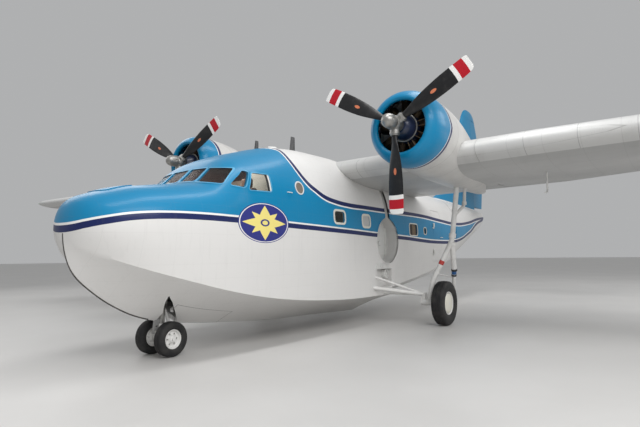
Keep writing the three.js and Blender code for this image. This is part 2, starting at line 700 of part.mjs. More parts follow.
function buildCockpit() {
  const panel = hullSolid(SKIN + PANEL_SEAT_GAP).intersect(box(PANEL.x, PANEL.y, PANEL.z));
  addPiece("instrument_panel", join(panel, yokeSolid(-SEAT_Y), yokeSolid(SEAT_Y)), "interior");
  [-1, 1].forEach((side) => {
    const y = side * SEAT_Y;
    const blocks = SEAT_BLOCKS.map(([x0, x1, half, z0, z1]) => box([x0, x1], [y - half, y + half], [z0, z1]));
    addPiece(side < 0 ? "pilot_seat" : "copilot_seat", join(...blocks), "seatBrown");
  });
}

// Engine nacelle sections: x, top, bottom, half width, roundness
const NACELLE_SECTIONS = [
  // x, top, bottom, half, square
  [COWL_TAIL_X + SEAT_GAP, 4790, 3310, 740, 2.0],
  [5900, 4720, 3265, 735, 2.1],
  [6600, 4500, 3235, 700, 2.2],
  [7300, 4180, 3215, 620, 2.2],
  [7900, 3800, 3205, 520, 2.2],
  [8600, 3560, 3195, 370, 2.1],
  [9300, 3300, 3185, 150, 2.0],
];

function roundedRing(x, centreY, top, bottom, half, square, count = 24) {
  return Array.from({ length: count }, (_, i) => {
    const t = (i / count) * 2 * Math.PI;
    const across = Math.sign(Math.cos(t)) * Math.abs(Math.cos(t)) ** (2 / square);
    const up = Math.sign(Math.sin(t)) * Math.abs(Math.sin(t)) ** (2 / square);
    return new THREE.Vector3(x, centreY + half * across, (top + bottom) / 2 + ((top - bottom) / 2) * up);
  });
}

const nacelles = {};

function buildPowerplant(side) {
  const name = side < 0 ? "port" : "starboard";
  const y = side * ENGINE_Y;
  const rings = NACELLE_SECTIONS.map(([x, ...sizes]) => roundedRing(x, y, ...sizes));
  const nacelle = largest(loft(rings).subtract(envelope));
  nacelles[name] = nacelle;
  addPiece(`nacelle_${name}`, nacelle, "wingSilver");

  const cowlProfile = [
    [0, COWL_RADIUS - 5],
    [-420, COWL_RADIUS],
    [-620, COWL_RADIUS - 50],
    [-720, COWL_RADIUS - 135],
    [-735, COWL_MOUTH + 45],
    [-680, COWL_MOUTH],
    [-560, COWL_RADIUS - 120],
    [-380, COWL_RADIUS - 40],
    [0, COWL_RADIUS - 40],
  ];
  const closed = [...cowlProfile, cowlProfile[0]];
  addPiece(`cowl_${name}`, turned(closed, "x", [COWL_TAIL_X, y, THRUST_Z], 24), "skyBlue");
  addPiece(`engine_${name}`, engineSolid(y), "engineGrey");
  addPiece(`propeller_${name}`, propellerSolid(y), "propBlack");
}

const CYLINDER_COUNT = 9;
const ENGINE_ROW_X = 5060;
const SHAFT_RADIUS = 55;
const SHAFT_SIDES = 12;

function engineSolid(y) {
  const crankcase = turned(
    [
      [COWL_TAIL_X, 0],
      [COWL_TAIL_X, 330],
      [5230, 330],
      [5170, 270],
      [4930, 270],
      [4880, 230],
      [4760, 190],
      [4640, 110],
      [4640, 0],
    ],
    "x",
    [0, y, THRUST_Z],
    18
  );
  const cylinders = Array.from({ length: CYLINDER_COUNT }, (_, i) => {
    const angle = Math.PI / 2 + (i * 2 * Math.PI) / CYLINDER_COUNT;
    const at = (radius) => [ENGINE_ROW_X, y + radius * Math.cos(angle), THRUST_Z + radius * Math.sin(angle)];
    return tube(at(240), at(655), 102, 8, 88);
  });
  const shaft = tube([4700, y, THRUST_Z], [PROP_X + 10, y, THRUST_Z], SHAFT_RADIUS, SHAFT_SIDES);
  return join(crankcase, ...cylinders, shaft);
}

// Blade stations, with the blades in fine pitch
const BLADE_STATIONS = [
  // radius, chord, thick, pitch
  [90, 118, 118, -42],
  [260, 124, 114, -36],
  [480, 200, 66, -24],
  [800, 285, 44, -13],
  [1150, 320, 30, -9],
  [1620, 295, 16, -5],
  [PROP_RADIUS, 230, 9, -5],
];
const BLADE_POINTS = 8;

function bladeSolid(y, turn) {
  const rings = BLADE_STATIONS.map(([radius, chord, thick, pitch]) => {
    const twist = THREE.MathUtils.degToRad(pitch);
    return Array.from({ length: BLADE_POINTS }, (_, i) => {
      const t = (i / BLADE_POINTS) * 2 * Math.PI;
      const along = (Math.cos(t) * chord) / 2;
      const across = (Math.sin(t) * thick) / 2;
      const flat = along * Math.cos(twist) - across * Math.sin(twist);
      const fore = along * Math.sin(twist) + across * Math.cos(twist);
      const point = new THREE.Vector3(fore, flat, radius).applyAxisAngle(new THREE.Vector3(1, 0, 0), turn);
      return point.add(new THREE.Vector3(PROP_X, y, THRUST_Z));
    });
  });
  return loft(rings);
}

function propellerSolid(y) {
  const hub = turned(
    [
      [4636 - BEARING_GAP, 0],
      [4636 - BEARING_GAP, 110],
      [4600, 135],
      [4560, 150],
      [4400, 150],
      [4370, 120],
      [4330, 132],
      [4200, 128],
      [4130, 90],
      [4105, 0],
    ],
    "x",
    [0, y, THRUST_Z],
    16
  );
  const blades = [60, 180, 300].map((degrees) => bladeSolid(y, THREE.MathUtils.degToRad(degrees)));
  const barrels = [60, 180, 300].map((degrees) => {
    const t = THREE.MathUtils.degToRad(degrees);
    const at = (radius) => [PROP_X, y - radius * Math.sin(t), THRUST_Z + radius * Math.cos(t)];
    return tube(at(60), at(235), 92, 8, 78);
  });
  const bore = boreTube([PROP_X - 10, y, THRUST_Z], [4700, y, THRUST_Z], SHAFT_RADIUS, SHAFT_SIDES);
  return join(hub, ...barrels, ...blades).subtract(bore);
}

// Fin and rudder sections: height, leading edge, rudder tail
const FIN_SECTIONS = [
  // z, leadX, tailX
  [3300, 13000, 18900],
  [3640, 13350, 19020],
  [4300, 14950, 19150],
  [5300, 15540, 19090],
  [6970, 16480, 18640],
  [7470, 16760, 18400],
];
const FIN_TOP_Z = 7870;
const FIN_SKIN = 35;
const RUDDER_FOOT_Z = 3640;
const RUDDER_TOP_Z = 7470;
const RUDDER_PIN_RADIUS = 30;

function finChordAt(z) {
  const index = Math.max(1, FIN_SECTIONS.findIndex(([height]) => height >= z));
  const [z0, lead0, tail0] = FIN_SECTIONS[index - 1];
  const [z1, lead1, tail1] = FIN_SECTIONS[index];
  const t = (z - z0) / (z1 - z0);
  return { lead: lead0 + (lead1 - lead0) * t, tail: tail0 + (tail1 - tail0) * t };
}

// Half thickness of the fin at its rudder hinge
function finHalf(z) {
  return 150 - 0.016 * (z - 3640);
}

// Both sides of an upright section from rows of [share of the length, share of the half width]
function finOutline(shapes, lead, reach, half, z, grow = 0) {
  const point = ([f, w], side) => {
    return new THREE.Vector3(lead + f * reach - (f ? 0 : grow), side * (w * half + grow), z);
  };
  const port = shapes.slice(0, -1).reverse();
  return [...shapes.map((row) => point(row, 1)), ...port.map((row) => point(row, -1))];
}

const FIN_SHAPE = [[1, 1], [0.75, 1.02], [0.45, 0.96], [0.2, 0.72], [0.06, 0.42], [0, 0]];
const FIN_TIP_SHAPE = [[1, 0.12], [0.7, 0.75], [0.4, 1], [0.2, 0.85], [0.06, 0.5], [0, 0]];

function finRing(z, grow = 0) {
  const { lead } = finChordAt(Math.min(z, RUDDER_TOP_Z));
  return finOutline(FIN_SHAPE, lead, RUDDER_HINGE_X - lead, finHalf(z), z, grow);
}

// The hollow inside the fin, between its nose and its rear spar
function finHollowRing(z) {
  const { lead } = finChordAt(z);
  const reach = RUDDER_HINGE_X - lead;
  const nose = new THREE.Vector3(lead + reach * 0.1, 0, z);
  const corners = [[0.25, 0.72], [0.8, 1]].map(([f, w]) => [lead + f * reach, w * finHalf(z) - FIN_SKIN]);
  const starboard = corners.map(([x, y]) => new THREE.Vector3(x, y, z));
  const port = corners.map(([x, y]) => new THREE.Vector3(x, -y, z)).reverse();
  return [nose, ...starboard, ...port];
}

// Rings of the fin's rounded tip
const FIN_TIP_ROWS = [
  // z, lead, tail, half width
  [RUDDER_TOP_Z + 8, 16765, 18390, 88],
  [7700, 16960, 18230, 70],
  [7820, 17180, 18020, 45],
  [FIN_TOP_Z, 17420, 17800, 12],
];

function rudderHinge(z) {
  const { tail } = finChordAt(z);
  return {
    axisX: RUDDER_HINGE_X,
    axisZ: 0,
    nose: finHalf(z) * 0.97,
    tailX: tail,
    tailZ: 0,
    tailHalf: 6,
    place: (along, across) => new THREE.Vector3(along, across, z),
  };
}

const RUDDER_PIN_FOOT_Z = 3400;
const FIN_POST = {
  x: [17200, RUDDER_HINGE_X - 110],
  y: [-60, 60],
  z: [RUDDER_TOP_Z - 60, RUDDER_TOP_Z + 60],
};
const FIN_COVE_ROWS = [3300, 4300, RUDDER_TOP_Z + 8];
const FIN_HOLLOW_ROWS = [3300, 4300, 5300, 6800];

function rudderPin() {
  const top = [RUDDER_HINGE_X, 0, RUDDER_FOOT_Z + PIN_REACH];
  return tube([RUDDER_HINGE_X, 0, RUDDER_PIN_FOOT_Z], top, RUDDER_PIN_RADIUS, PIN_SIDES);
}

function buildTail(hull) {
  const finRows = FIN_SECTIONS.map(([z]) => z);
  const coveAt = (z) => coveRing(rudderHinge(Math.min(z, RUDDER_TOP_Z))).map((p) => p.setZ(z));
  const cove = loft(FIN_COVE_ROWS.map(coveAt));
  const tipRing = ([z, lead, tail, half]) => finOutline(FIN_TIP_SHAPE, lead, tail - lead, half, z);
  const tip = loft(FIN_TIP_ROWS.map(tipRing));
  const body = loft(finRows.map((z) => finRing(z))).subtract(cove);
  const post = box(FIN_POST.x, FIN_POST.y, FIN_POST.z);
  const hullLifted = join(hull, hull.translate([0, 0, SEAT_GAP]));
  const hollow = loft(FIN_HOLLOW_ROWS.map((z) => finHollowRing(z)));
  const fin = largest(join(body.subtract(hollow), tip, post).subtract(hullLifted));
  addPiece("fin", fin, "skyBlue");

  const rudderRows = [RUDDER_FOOT_Z, 4300, 5300, 6970, RUDDER_TOP_Z];
  const socketAt = (z) => [RUDDER_HINGE_X, 0, z];
  const socketTop = RUDDER_FOOT_Z + PIN_REACH + SOCKET_SPARE;
  const socket = boreTube(socketAt(RUDDER_PIN_FOOT_Z), socketAt(socketTop), RUDDER_PIN_RADIUS, PIN_SIDES);
  addPiece("rudder", loft(rudderRows.map((z) => surfaceRing(rudderHinge(z)))).subtract(socket), "skyBlue");

  [-1, 1].forEach((side) => buildTailplane(side));
}

// Tailplane: straight elevator hinge, tapering chords
const TAILPLANE_ROOT = { lead: 15750, tail: 18560, half: 140 };
const TAILPLANE_TIP = { lead: 16560, tail: 18180, half: 68 };
const TAILPLANE_SKIN = 25;

function tailplaneAt(y) {
  const t = Math.abs(y) / TAILPLANE_HALF_SPAN;
  const mix = (key) => TAILPLANE_ROOT[key] + (TAILPLANE_TIP[key] - TAILPLANE_ROOT[key]) * t;
  return { lead: mix("lead"), tail: mix("tail"), half: mix("half") };
}

function tailplaneRing(y, grow = 0, scale = 1) {
  const { lead, tail, half } = tailplaneAt(y);
  const split = (ELEVATOR_HINGE_X - lead) / (tail - lead);
  const shapes = [[1, 0.05], [split, 1], [0.4, 1.05], [0.2, 0.9], [0.07, 0.55], [0, 0]];
  const point = ([f, h], side) => {
    return new THREE.Vector3(lead + f * (tail - lead), y, TAILPLANE_Z + side * (h * half * scale + grow));
  };
  const lower = shapes.slice(0, -1).reverse();
  return [...shapes.map((row) => point(row, 1)), ...lower.map((row) => point(row, -1))];
}

// The hollow inside the tailplane, open at its root
function tailplaneHollowRing(y) {
  const { lead, tail, half } = tailplaneAt(y);
  const shapes = [[0.1, 0.5], [0.25, 0.9], [0.5, 0.95]];
  const corners = shapes.map(([f, h]) => [lead + f * (tail - lead), h * half - TAILPLANE_SKIN]);
  const upper = corners.map(([x, z]) => new THREE.Vector3(x, y, TAILPLANE_Z + z));
  const lower = corners.map(([x, z]) => new THREE.Vector3(x, y, TAILPLANE_Z - z)).reverse();
  return [...upper, ...lower];
}

function elevatorHinge(y) {
  const { tail, half } = tailplaneAt(y);
  return {
    axisX: ELEVATOR_HINGE_X,
    axisZ: TAILPLANE_Z,
    nose: half * 0.97,
    tailX: tail,
    tailZ: TAILPLANE_Z,
    tailHalf: 6,
    place: (along, across) => new THREE.Vector3(along, y, across),
  };
}

const ELEVATOR_INNER = 330;
const ELEVATOR_OUTER = 4480;
const ELEVATOR_TAIL_INNER = 900;
const TAILPLANE_TIP_START = TAILPLANE_HALF_SPAN - 200;
const TAILPLANE_HOLLOW_END = 4200;
const TAILPLANE_ROOT_Y = 20;

function buildTailplane(side) {
  const name = side < 0 ? "port" : "starboard";
  const inner = side * ELEVATOR_INNER;
  const outer = side * ELEVATOR_OUTER;
  const axisAt = (y) => [ELEVATOR_HINGE_X, y, TAILPLANE_Z];
  const { pins, sockets } = hingePins(axisAt, inner, outer);
  const root = side * TAILPLANE_ROOT_Y;
  const tipStart = side * TAILPLANE_TIP_START;
  const tip = loft([tailplaneRing(tipStart), tailplaneRing(side * TAILPLANE_HALF_SPAN, 0, 0.4)]);
  const finRoom = loft([4100, 4300, 5300].map((z) => finRing(z, SEAT_GAP)));
  const clear = ELEVATOR_INNER - END_GAP;
  const rudderRoom = box([ELEVATOR_HINGE_X + 60, LENGTH], side < 0 ? [-clear, 0] : [0, clear], [4000, 5000]);
  const cove = loft([inner - side * END_GAP, outer + side * END_GAP].map((y) => coveRing(elevatorHinge(y))));
  const whole = join(loft([tailplaneRing(root), tailplaneRing(tipStart)]), tip);
  const hollow = loft([root, side * TAILPLANE_HOLLOW_END].map((y) => tailplaneHollowRing(y)));
  const plane = whole.subtract(join(finRoom, rudderRoom, hollow)).subtract(cove).add(join(...pins));
  addPiece(`tailplane_${name}`, largest(plane), "wingSilver");

  const corner = [
    [ELEVATOR_HINGE_X + 160, side * (ELEVATOR_INNER - 5)],
    [19100, side * (ELEVATOR_TAIL_INNER + 200)],
    [19100, side * 100],
    [ELEVATOR_HINGE_X + 160, side * 100],
  ];
  const cornerCut = loft([4100, 5000].map((z) => corner.map(([x, y]) => new THREE.Vector3(x, y, z))));
  const elevator = loft([inner, outer].map((y) => surfaceRing(elevatorHinge(y))));
  addPiece(`elevator_${name}`, elevator.subtract(join(...sockets)).subtract(cornerCut), "wingSilver");
}

// Wing floats: x from the nose of the float, keel, chine, half beam, deck top
const FLOAT_Y = 10200;
const FLOAT_SECTIONS = [
  // x, keel, chine, half, top
  [5560, 1900, 1930, 30, 1990],
  [5720, 1700, 1820, 150, 2090],
  [6200, 1510, 1690, 290, 2180],
  [6900, 1450, 1640, 340, 2200],
  [7350, 1440, 1640, 335, 2190],
  [7360, 1510, 1690, 330, 2190],
  [8100, 1720, 1840, 200, 2120],
  [8700, 1910, 1950, 40, 2010],
];

function floatRing([x, keel, chine, half, top], y) {
  const mid = (chine + top) / 2;
  const profile = [
    [0, keel],
    [half * 0.55, keel + (chine - keel) * 0.62],
    [half, chine],
    [half * 1.02, mid],
    [half * 0.7, top - (top - mid) * 0.25],
    [0, top],
  ];
  const right = profile.map(([across, z]) => new THREE.Vector3(x, y + across, z));
  const left = profile.slice(1, -1).reverse().map(([across, z]) => new THREE.Vector3(x, y - across, z));
  return [...right, ...left];
}

// Float struts: feet on the float, heads in the wing, and a round brace inboard
const FLOAT_STRUTS = [
  // foot x, head x
  [6500, 6700],
  [7500, 7700],
];
const FLOAT_STRUT = { foot: 2050, head: 3760, lean: 60, halfLength: 95, halfWidth: 32 };
const FLOAT_BRACE = { foot: [7000, 150, 2120], head: [7200, 900, 3700], radius: 24 };
const FLOAT_WING_Y = [9000, 11500];

function buildFloat(side) {
  const name = side < 0 ? "port" : "starboard";
  const y = side * FLOAT_Y;
  const body = loft(FLOAT_SECTIONS.map((section) => floatRing(section, y)));
  const room = loft(FLOAT_WING_Y.map((across) => wingRing(side * across, SEAT_GAP)));
  const { foot, head, lean, halfLength, halfWidth } = FLOAT_STRUT;
  const ring = (x, z, across) => roundedSection(x, across, z, halfLength, halfWidth);
  const struts = FLOAT_STRUTS.map(([x0, x1]) => loft([ring(x0, foot, y), ring(x1, head, y - side * lean)]));
  const inboard = ([x, across, z]) => [x, y - side * across, z];
  const brace = tube(inboard(FLOAT_BRACE.foot), inboard(FLOAT_BRACE.head), FLOAT_BRACE.radius, 8);
  const whole = join(body, ...struts, brace).subtract(room);
  addPiece(`float_${name}`, largest(whole), "wingSilver");
}

// A streamlined strut section, long in X
function roundedSection(x, y, z, halfLength, halfWidth) {
  return Array.from({ length: 10 }, (_, i) => {
    const t = (i / 10) * 2 * Math.PI;
    return new THREE.Vector3(x + halfLength * Math.cos(t), y + halfWidth * Math.sin(t), z);
  });
}

// Wheels: profile rows are [across, radius]

function tyreProfile(radius, width, rim) {
  const half = width / 2;
  const seat = rim + SEAT_GAP;
  const rows = [
    [-half * 0.72, seat],
    [-half, seat + (radius - seat) * 0.42],
    [-half * 0.86, radius - (radius - seat) * 0.16],
    [-half * 0.45, radius],
    [half * 0.45, radius],
    [half * 0.86, radius - (radius - seat) * 0.16],
    [half, seat + (radius - seat) * 0.42],
    [half * 0.72, seat],
  ];
  return [...rows, rows[0]];
}

const WHEEL_SEGMENTS = 24;

function rimProfile(rim, width, hub, axle) {
  const half = width * 0.36;
  const rows = [
    [-half, axle],
    [-half, hub],
    [-half * 0.35, rim * 0.82],
    [-half, rim],
    [half, rim],
    [half * 0.35, rim * 0.82],
    [half, hub],
    [half, axle],
  ];
  return [...rows, rows[0]];
}

// Main leg: bent tubes with points as [x, outboard, z], from the nacelle down to the axle
const MAIN_AXLE_RADIUS = 36;
const MAIN_HUB_RADIUS = 75;
const MAIN_LEG_TUBES = [
  // radius, points
  [60, [[7750, 3020, 3420], [7750, 2840, 1970], [7690, 2660, 1580], [7600, 2400, 1020], [MAIN_X, 2320, 560]]],
  [62, [[7760, 2835, 1900], [7960, 2790, 1250]]],
  [42, [[7950, 2790, 1260], [8110, 2700, 760]]],
  [36, [[8110, 2700, 790], [8120, 2460, 640], [7560, 2340, 520]]],
  [38, [[8060, 3090, 3420], [8060, 3050, 2790], [7770, 2915, 2560]]],
  [16, [[7640, 2470, 1180], [8030, 2740, 1080]]],
];
const MAIN_KNUCKLE = { radius: 70, inner: 2260, outer: 2400 };
const MAIN_AXLE_END = 2820;

// Truss between the hull side and the axle: three tubes to one end block
const TRUSS_HEAD = [MAIN_X, 2200, 690];
const TRUSS_TUBES = [
  // radius, foot as [x, outboard, z]
  [46, [6790, 1150, 865]],
  [28, [6860, 1150, 1140]],
  [24, [7300, 1100, 700]],
];
const TRUSS_BOSS = { radius: 78, inner: 2130, outer: MAIN_KNUCKLE.inner - SEAT_GAP };
const TRUSS_BLOCK = { half: 60, inner: 2140, outer: 2240, height: 225 };

function wheelSolids(radius, width, rim, hub, bore, centre) {
  return {
    tyre: turned(tyreProfile(radius, width, rim), "y", centre, WHEEL_SEGMENTS),
    rim: turned(rimProfile(rim, width, hub, bore), "y", centre, WHEEL_SEGMENTS),
  };
}

function buildMainGear(side, hull) {
  const name = side < 0 ? "port" : "starboard";
  const z = MAIN_TYRE_RADIUS;
  const at = (x, across, height) => [x, side * across, height];
  const bore = boreRadius(MAIN_AXLE_RADIUS, WHEEL_SEGMENTS);
  const centre = at(MAIN_X, MAIN_Y, z);
  const sizes = [MAIN_TYRE_RADIUS, MAIN_TYRE_WIDTH, MAIN_RIM_RADIUS, MAIN_HUB_RADIUS, bore];
  const wheel = wheelSolids(...sizes, centre);
  addPiece(`main_tyre_${name}`, wheel.tyre, "tyre");
  addPiece(`main_rim_${name}`, wheel.rim, "gearWhite");

  const nacelleBelow = join(nacelles[name], nacelles[name].translate([0, 0, -SEAT_GAP]));
  const tubes = MAIN_LEG_TUBES.map(([radius, points]) => bentTube(points.map((p) => at(...p)), radius));
  const { radius: knuckleRadius, inner, outer } = MAIN_KNUCKLE;
  const knuckle = tube(at(MAIN_X, inner, z), at(MAIN_X, outer, z), knuckleRadius);
  const axle = tube(at(MAIN_X, outer - SPARE, z), at(MAIN_X, MAIN_AXLE_END, z), MAIN_AXLE_RADIUS);
  addPiece(`main_leg_${name}`, largest(join(...tubes, knuckle, axle).subtract(nacelleBelow)), "gearWhite");

  const shifts = [[0, 0, 0], [0, side * SEAT_GAP, 0], [0, side * SEAT_GAP, -SEAT_GAP]];
  const hullBeside = join(...shifts.map((shift) => hull.translate(shift)));
  const boss = tube(at(MAIN_X, TRUSS_BOSS.inner, z), at(MAIN_X, TRUSS_BOSS.outer, z), TRUSS_BOSS.radius);
  const blockY = side < 0 ? [-TRUSS_BLOCK.outer, -TRUSS_BLOCK.inner] : [TRUSS_BLOCK.inner, TRUSS_BLOCK.outer];
  const blockX = [MAIN_X - TRUSS_BLOCK.half, MAIN_X + TRUSS_BLOCK.half];
  const block = box(blockX, blockY, [z, z + TRUSS_BLOCK.height]);
  const bars = TRUSS_TUBES.map(([radius, foot]) => tube(at(...foot), at(...TRUSS_HEAD), radius, 8));
  const truss = join(...bars, boss, block);
  addPiece(`main_truss_${name}`, largest(truss.subtract(hullBeside)), "gearWhite");
}

// Nose gear: a fixed housing in the well, a steered fork, and two wheels on one turning axle
const NOSE_STEER_Z = 860;
const NOSE_STRUT_RADIUS = 82;
const NOSE_PISTON_RADIUS = 52;
const NOSE_AXLE_RADIUS = 30;
const NOSE_HUB_RADIUS = 52;
const NOSE_ROOF_Z = NOSE_WELL.z[1] - SEAT_GAP;
const NOSE_BORE_TOP_Z = 1300;
const NOSE_BRACE = { radius: 38, points: [[NOSE_X + 40, 0, 1150], [NOSE_X + 700, 0, 1480]] };
const NOSE_BRACE_BLOCK = { x: [NOSE_X + 640, NOSE_X + 760], y: [-90, 90], z: [1440, NOSE_ROOF_Z] };
const FORK_TUBES = [
  // radius, from and to as heights above the axle
  [NOSE_PISTON_RADIUS, 20, 960],
  [72, 40, 240],
];
const FORK_SLEEVE = { radius: 62, half: 130 };
const FORK_LEVER = { x: [NOSE_X - 150, NOSE_X + 210], y: [-30, 30], low: 60, high: 130 };
const FORK_DAMPER = { radius: 26, foot: [NOSE_X + 190, 100], head: [NOSE_X + 60, 480] };
const NOSE_AXLE_SPARE = 90;

function buildNoseGear() {
  const z = NOSE_TYRE_RADIUS;
  const at = (height) => [NOSE_X, 0, height];
  const across = (y) => [NOSE_X, y, z];
  const bore = boreTube(at(NOSE_STEER_Z - SPARE), at(NOSE_BORE_TOP_Z), NOSE_PISTON_RADIUS);
  const housing = join(
    tube(at(NOSE_STEER_Z), at(NOSE_ROOF_Z), NOSE_STRUT_RADIUS),
    bentTube(NOSE_BRACE.points, NOSE_BRACE.radius),
    box(NOSE_BRACE_BLOCK.x, NOSE_BRACE_BLOCK.y, NOSE_BRACE_BLOCK.z)
  );
  addPiece("nose_strut", housing.subtract(bore), "gearWhite");

  const [damperFoot, damperHead] = [FORK_DAMPER.foot, FORK_DAMPER.head].map(([x, lift]) => [x, 0, z + lift]);
  const fork = join(
    ...FORK_TUBES.map(([radius, low, high]) => tube(at(z + low), at(z + high), radius)),
    tube(across(-FORK_SLEEVE.half), across(FORK_SLEEVE.half), FORK_SLEEVE.radius),
    box(FORK_LEVER.x, FORK_LEVER.y, [z + FORK_LEVER.low, z + FORK_LEVER.high]),
    tube(damperFoot, damperHead, FORK_DAMPER.radius, 8)
  );
  const boreEnds = [-1, 1].map((side) => across(side * (FORK_SLEEVE.half + SPARE)));
  const sleeveBore = boreTube(...boreEnds, NOSE_AXLE_RADIUS);
  addPiece("nose_fork", fork.subtract(sleeveBore), "gearWhite");

  const axleHalf = NOSE_WHEEL_Y + NOSE_AXLE_SPARE;
  const sizes = [NOSE_TYRE_RADIUS, NOSE_TYRE_WIDTH, NOSE_RIM_RADIUS, NOSE_HUB_RADIUS, NOSE_AXLE_RADIUS - 1];
  const [port, starboard] = [-1, 1].map((side) => wheelSolids(...sizes, across(side * NOSE_WHEEL_Y)));
  const axle = tube(across(-axleHalf), across(axleHalf), NOSE_AXLE_RADIUS);
  addPiece("nose_rims", join(axle, port.rim, starboard.rim), "gearWhite");
  addPiece("nose_tyre_port", port.tyre, "tyre");
  addPiece("nose_tyre_starboard", starboard.tyre, "tyre");
}

// Small fittings: roof aerials and the pitot mast under the port wing
const AERIALS = [
  // name, x, top, half length at the root
  ["aerial_fore", 4040, 4085, 90],
  ["aerial_aft", 5250, 4400, 130],
];
const AERIAL_FOOT_Z = 3600;
const AERIAL_HALF_WIDTH = 14;
const AERIAL_TIP_SHARE = 0.55;
const AERIAL_SWEEP = 0.4;
const PITOT = { radius: 18, points: [[7660, -5000, 3500], [7640, -5000, 2930], [7420, -5000, 2890]] };

function buildFittings(hull) {
  const lifted = join(hull, hull.translate([0, 0, SEAT_GAP]));
  AERIALS.forEach(([name, x, top, half]) => {
    const foot = roundedSection(x, 0, AERIAL_FOOT_Z, half, AERIAL_HALF_WIDTH);
    const head = roundedSection(x + half * AERIAL_SWEEP, 0, top, half * AERIAL_TIP_SHARE, AERIAL_HALF_WIDTH);
    addPiece(name, largest(loft([foot, head]).subtract(lifted)), "antenna");
  });
  addPiece("pitot_mast", largest(bentTube(PITOT.points, PITOT.radius).subtract(envelope)), "gearWhite");
}

const hull = buildHull();
buildCockpit();
buildWing();
[-1, 1].forEach((side) => {
  buildPowerplant(side);
  buildFloat(side);
  buildMainGear(side, hull);
});
buildTail(hull);
buildNoseGear();
buildFittings(hull);

export default aircraft;
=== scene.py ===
import math

import bmesh
import bpy
from mathutils import Matrix, Vector


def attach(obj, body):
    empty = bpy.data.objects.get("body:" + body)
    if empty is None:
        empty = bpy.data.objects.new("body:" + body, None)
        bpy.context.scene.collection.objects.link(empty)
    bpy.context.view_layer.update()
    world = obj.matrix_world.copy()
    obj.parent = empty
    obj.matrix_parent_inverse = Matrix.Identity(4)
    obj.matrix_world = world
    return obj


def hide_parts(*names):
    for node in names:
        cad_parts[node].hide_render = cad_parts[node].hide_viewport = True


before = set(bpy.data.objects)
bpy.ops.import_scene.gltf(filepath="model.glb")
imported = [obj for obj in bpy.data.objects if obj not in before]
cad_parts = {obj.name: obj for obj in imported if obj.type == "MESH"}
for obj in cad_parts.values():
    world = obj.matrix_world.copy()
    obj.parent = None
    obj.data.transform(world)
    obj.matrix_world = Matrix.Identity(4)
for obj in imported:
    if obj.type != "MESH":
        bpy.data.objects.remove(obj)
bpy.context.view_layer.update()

# The camera stands where the photograph was taken from: ahead of the port bow, at eye height, with a wide
# lens. Its place and turn were worked out from the real sizes. Lengths run from the nose, and NOSE moves
# them to the frame.
NOSE = Vector((-9.575, 0, 0))
EYE = Vector((-3.6812, -7.1609, 1.6517))
TURN, RISE, ROLL = 0.6192, 0.0826, -0.0107
FOCAL_PIXELS, PICTURE_WIDTH, SENSOR = 499.34, 640, 36

ahead = Vector((math.cos(RISE) * math.cos(TURN), math.cos(RISE) * math.sin(TURN), math.sin(RISE)))
level = Vector((math.sin(TURN), -math.cos(TURN), 0))
upright = level.cross(ahead)
right = level * math.cos(ROLL) + upright * math.sin(ROLL)
up = upright * math.cos(ROLL) - level * math.sin(ROLL)
lens = bpy.data.cameras.new("camera")
lens.sensor_width = SENSOR
lens.lens = FOCAL_PIXELS / PICTURE_WIDTH * SENSOR
lens.clip_end = 500
camera = bpy.data.objects.new("camera", lens)
bpy.context.scene.collection.objects.link(camera)
camera.matrix_world = Matrix.Translation(EYE + NOSE) @ Matrix((right, up, -ahead)).transposed().to_4x4()
bpy.context.scene.camera = camera


# Shader values are written as Python sums. Shade wraps one socket, and Finish is one material.
def pair_method(operation):
    """A method that joins two shader values with one math node."""
    return lambda self, other: self.math(operation, self, other)


class Shade:
    def __init__(self, finish, socket):
        self.finish = finish
        self.socket = socket

    def math(self, operation, *values):
        return self.finish.node("ShaderNodeMath", {"operation": operation}, values)

    __add__ = __radd__ = pair_method("ADD")
    __sub__ = pair_method("SUBTRACT")
    __mul__ = __rmul__ = pair_method("MULTIPLY")
    __truediv__ = pair_method("DIVIDE")
    __mod__ = pair_method("FLOORED_MODULO")
    __pow__ = pair_method("POWER")
    __lt__ = pair_method("LESS_THAN")
    least = pair_method("MINIMUM")
    most = pair_method("MAXIMUM")

    def __rsub__(self, other):
        return self.math("SUBTRACT", other, self)

    def __rtruediv__(self, other):
        return self.math("DIVIDE", other, self)

    def __abs__(self):
        return self.math("ABSOLUTE", self)

    def rise(self, low, high):
        """0 below low, 1 above high, and smooth between."""
        values = {"Value": self, "From Min": low, "From Max": high}
        return self.finish.node("ShaderNodeMapRange", {"interpolation_type": "SMOOTHSTEP"}, values)

    def within(self, half, soft=0.002):
        """1 where the value is within half of 0."""
        return 1 - abs(self).rise(half - soft, half + soft)

    def step(self, at, soft=0.002):
        """0 below the place, 1 above it."""
        return self.rise(at - soft, at + soft)

    def apart(self, pitch):
        """Distance to the nearest of the lines that lie a pitch apart."""
        return abs((self / pitch) % 1.0 - 0.5) * pitch

    def length(self, other):
        return (self * self + other * other) ** 0.5


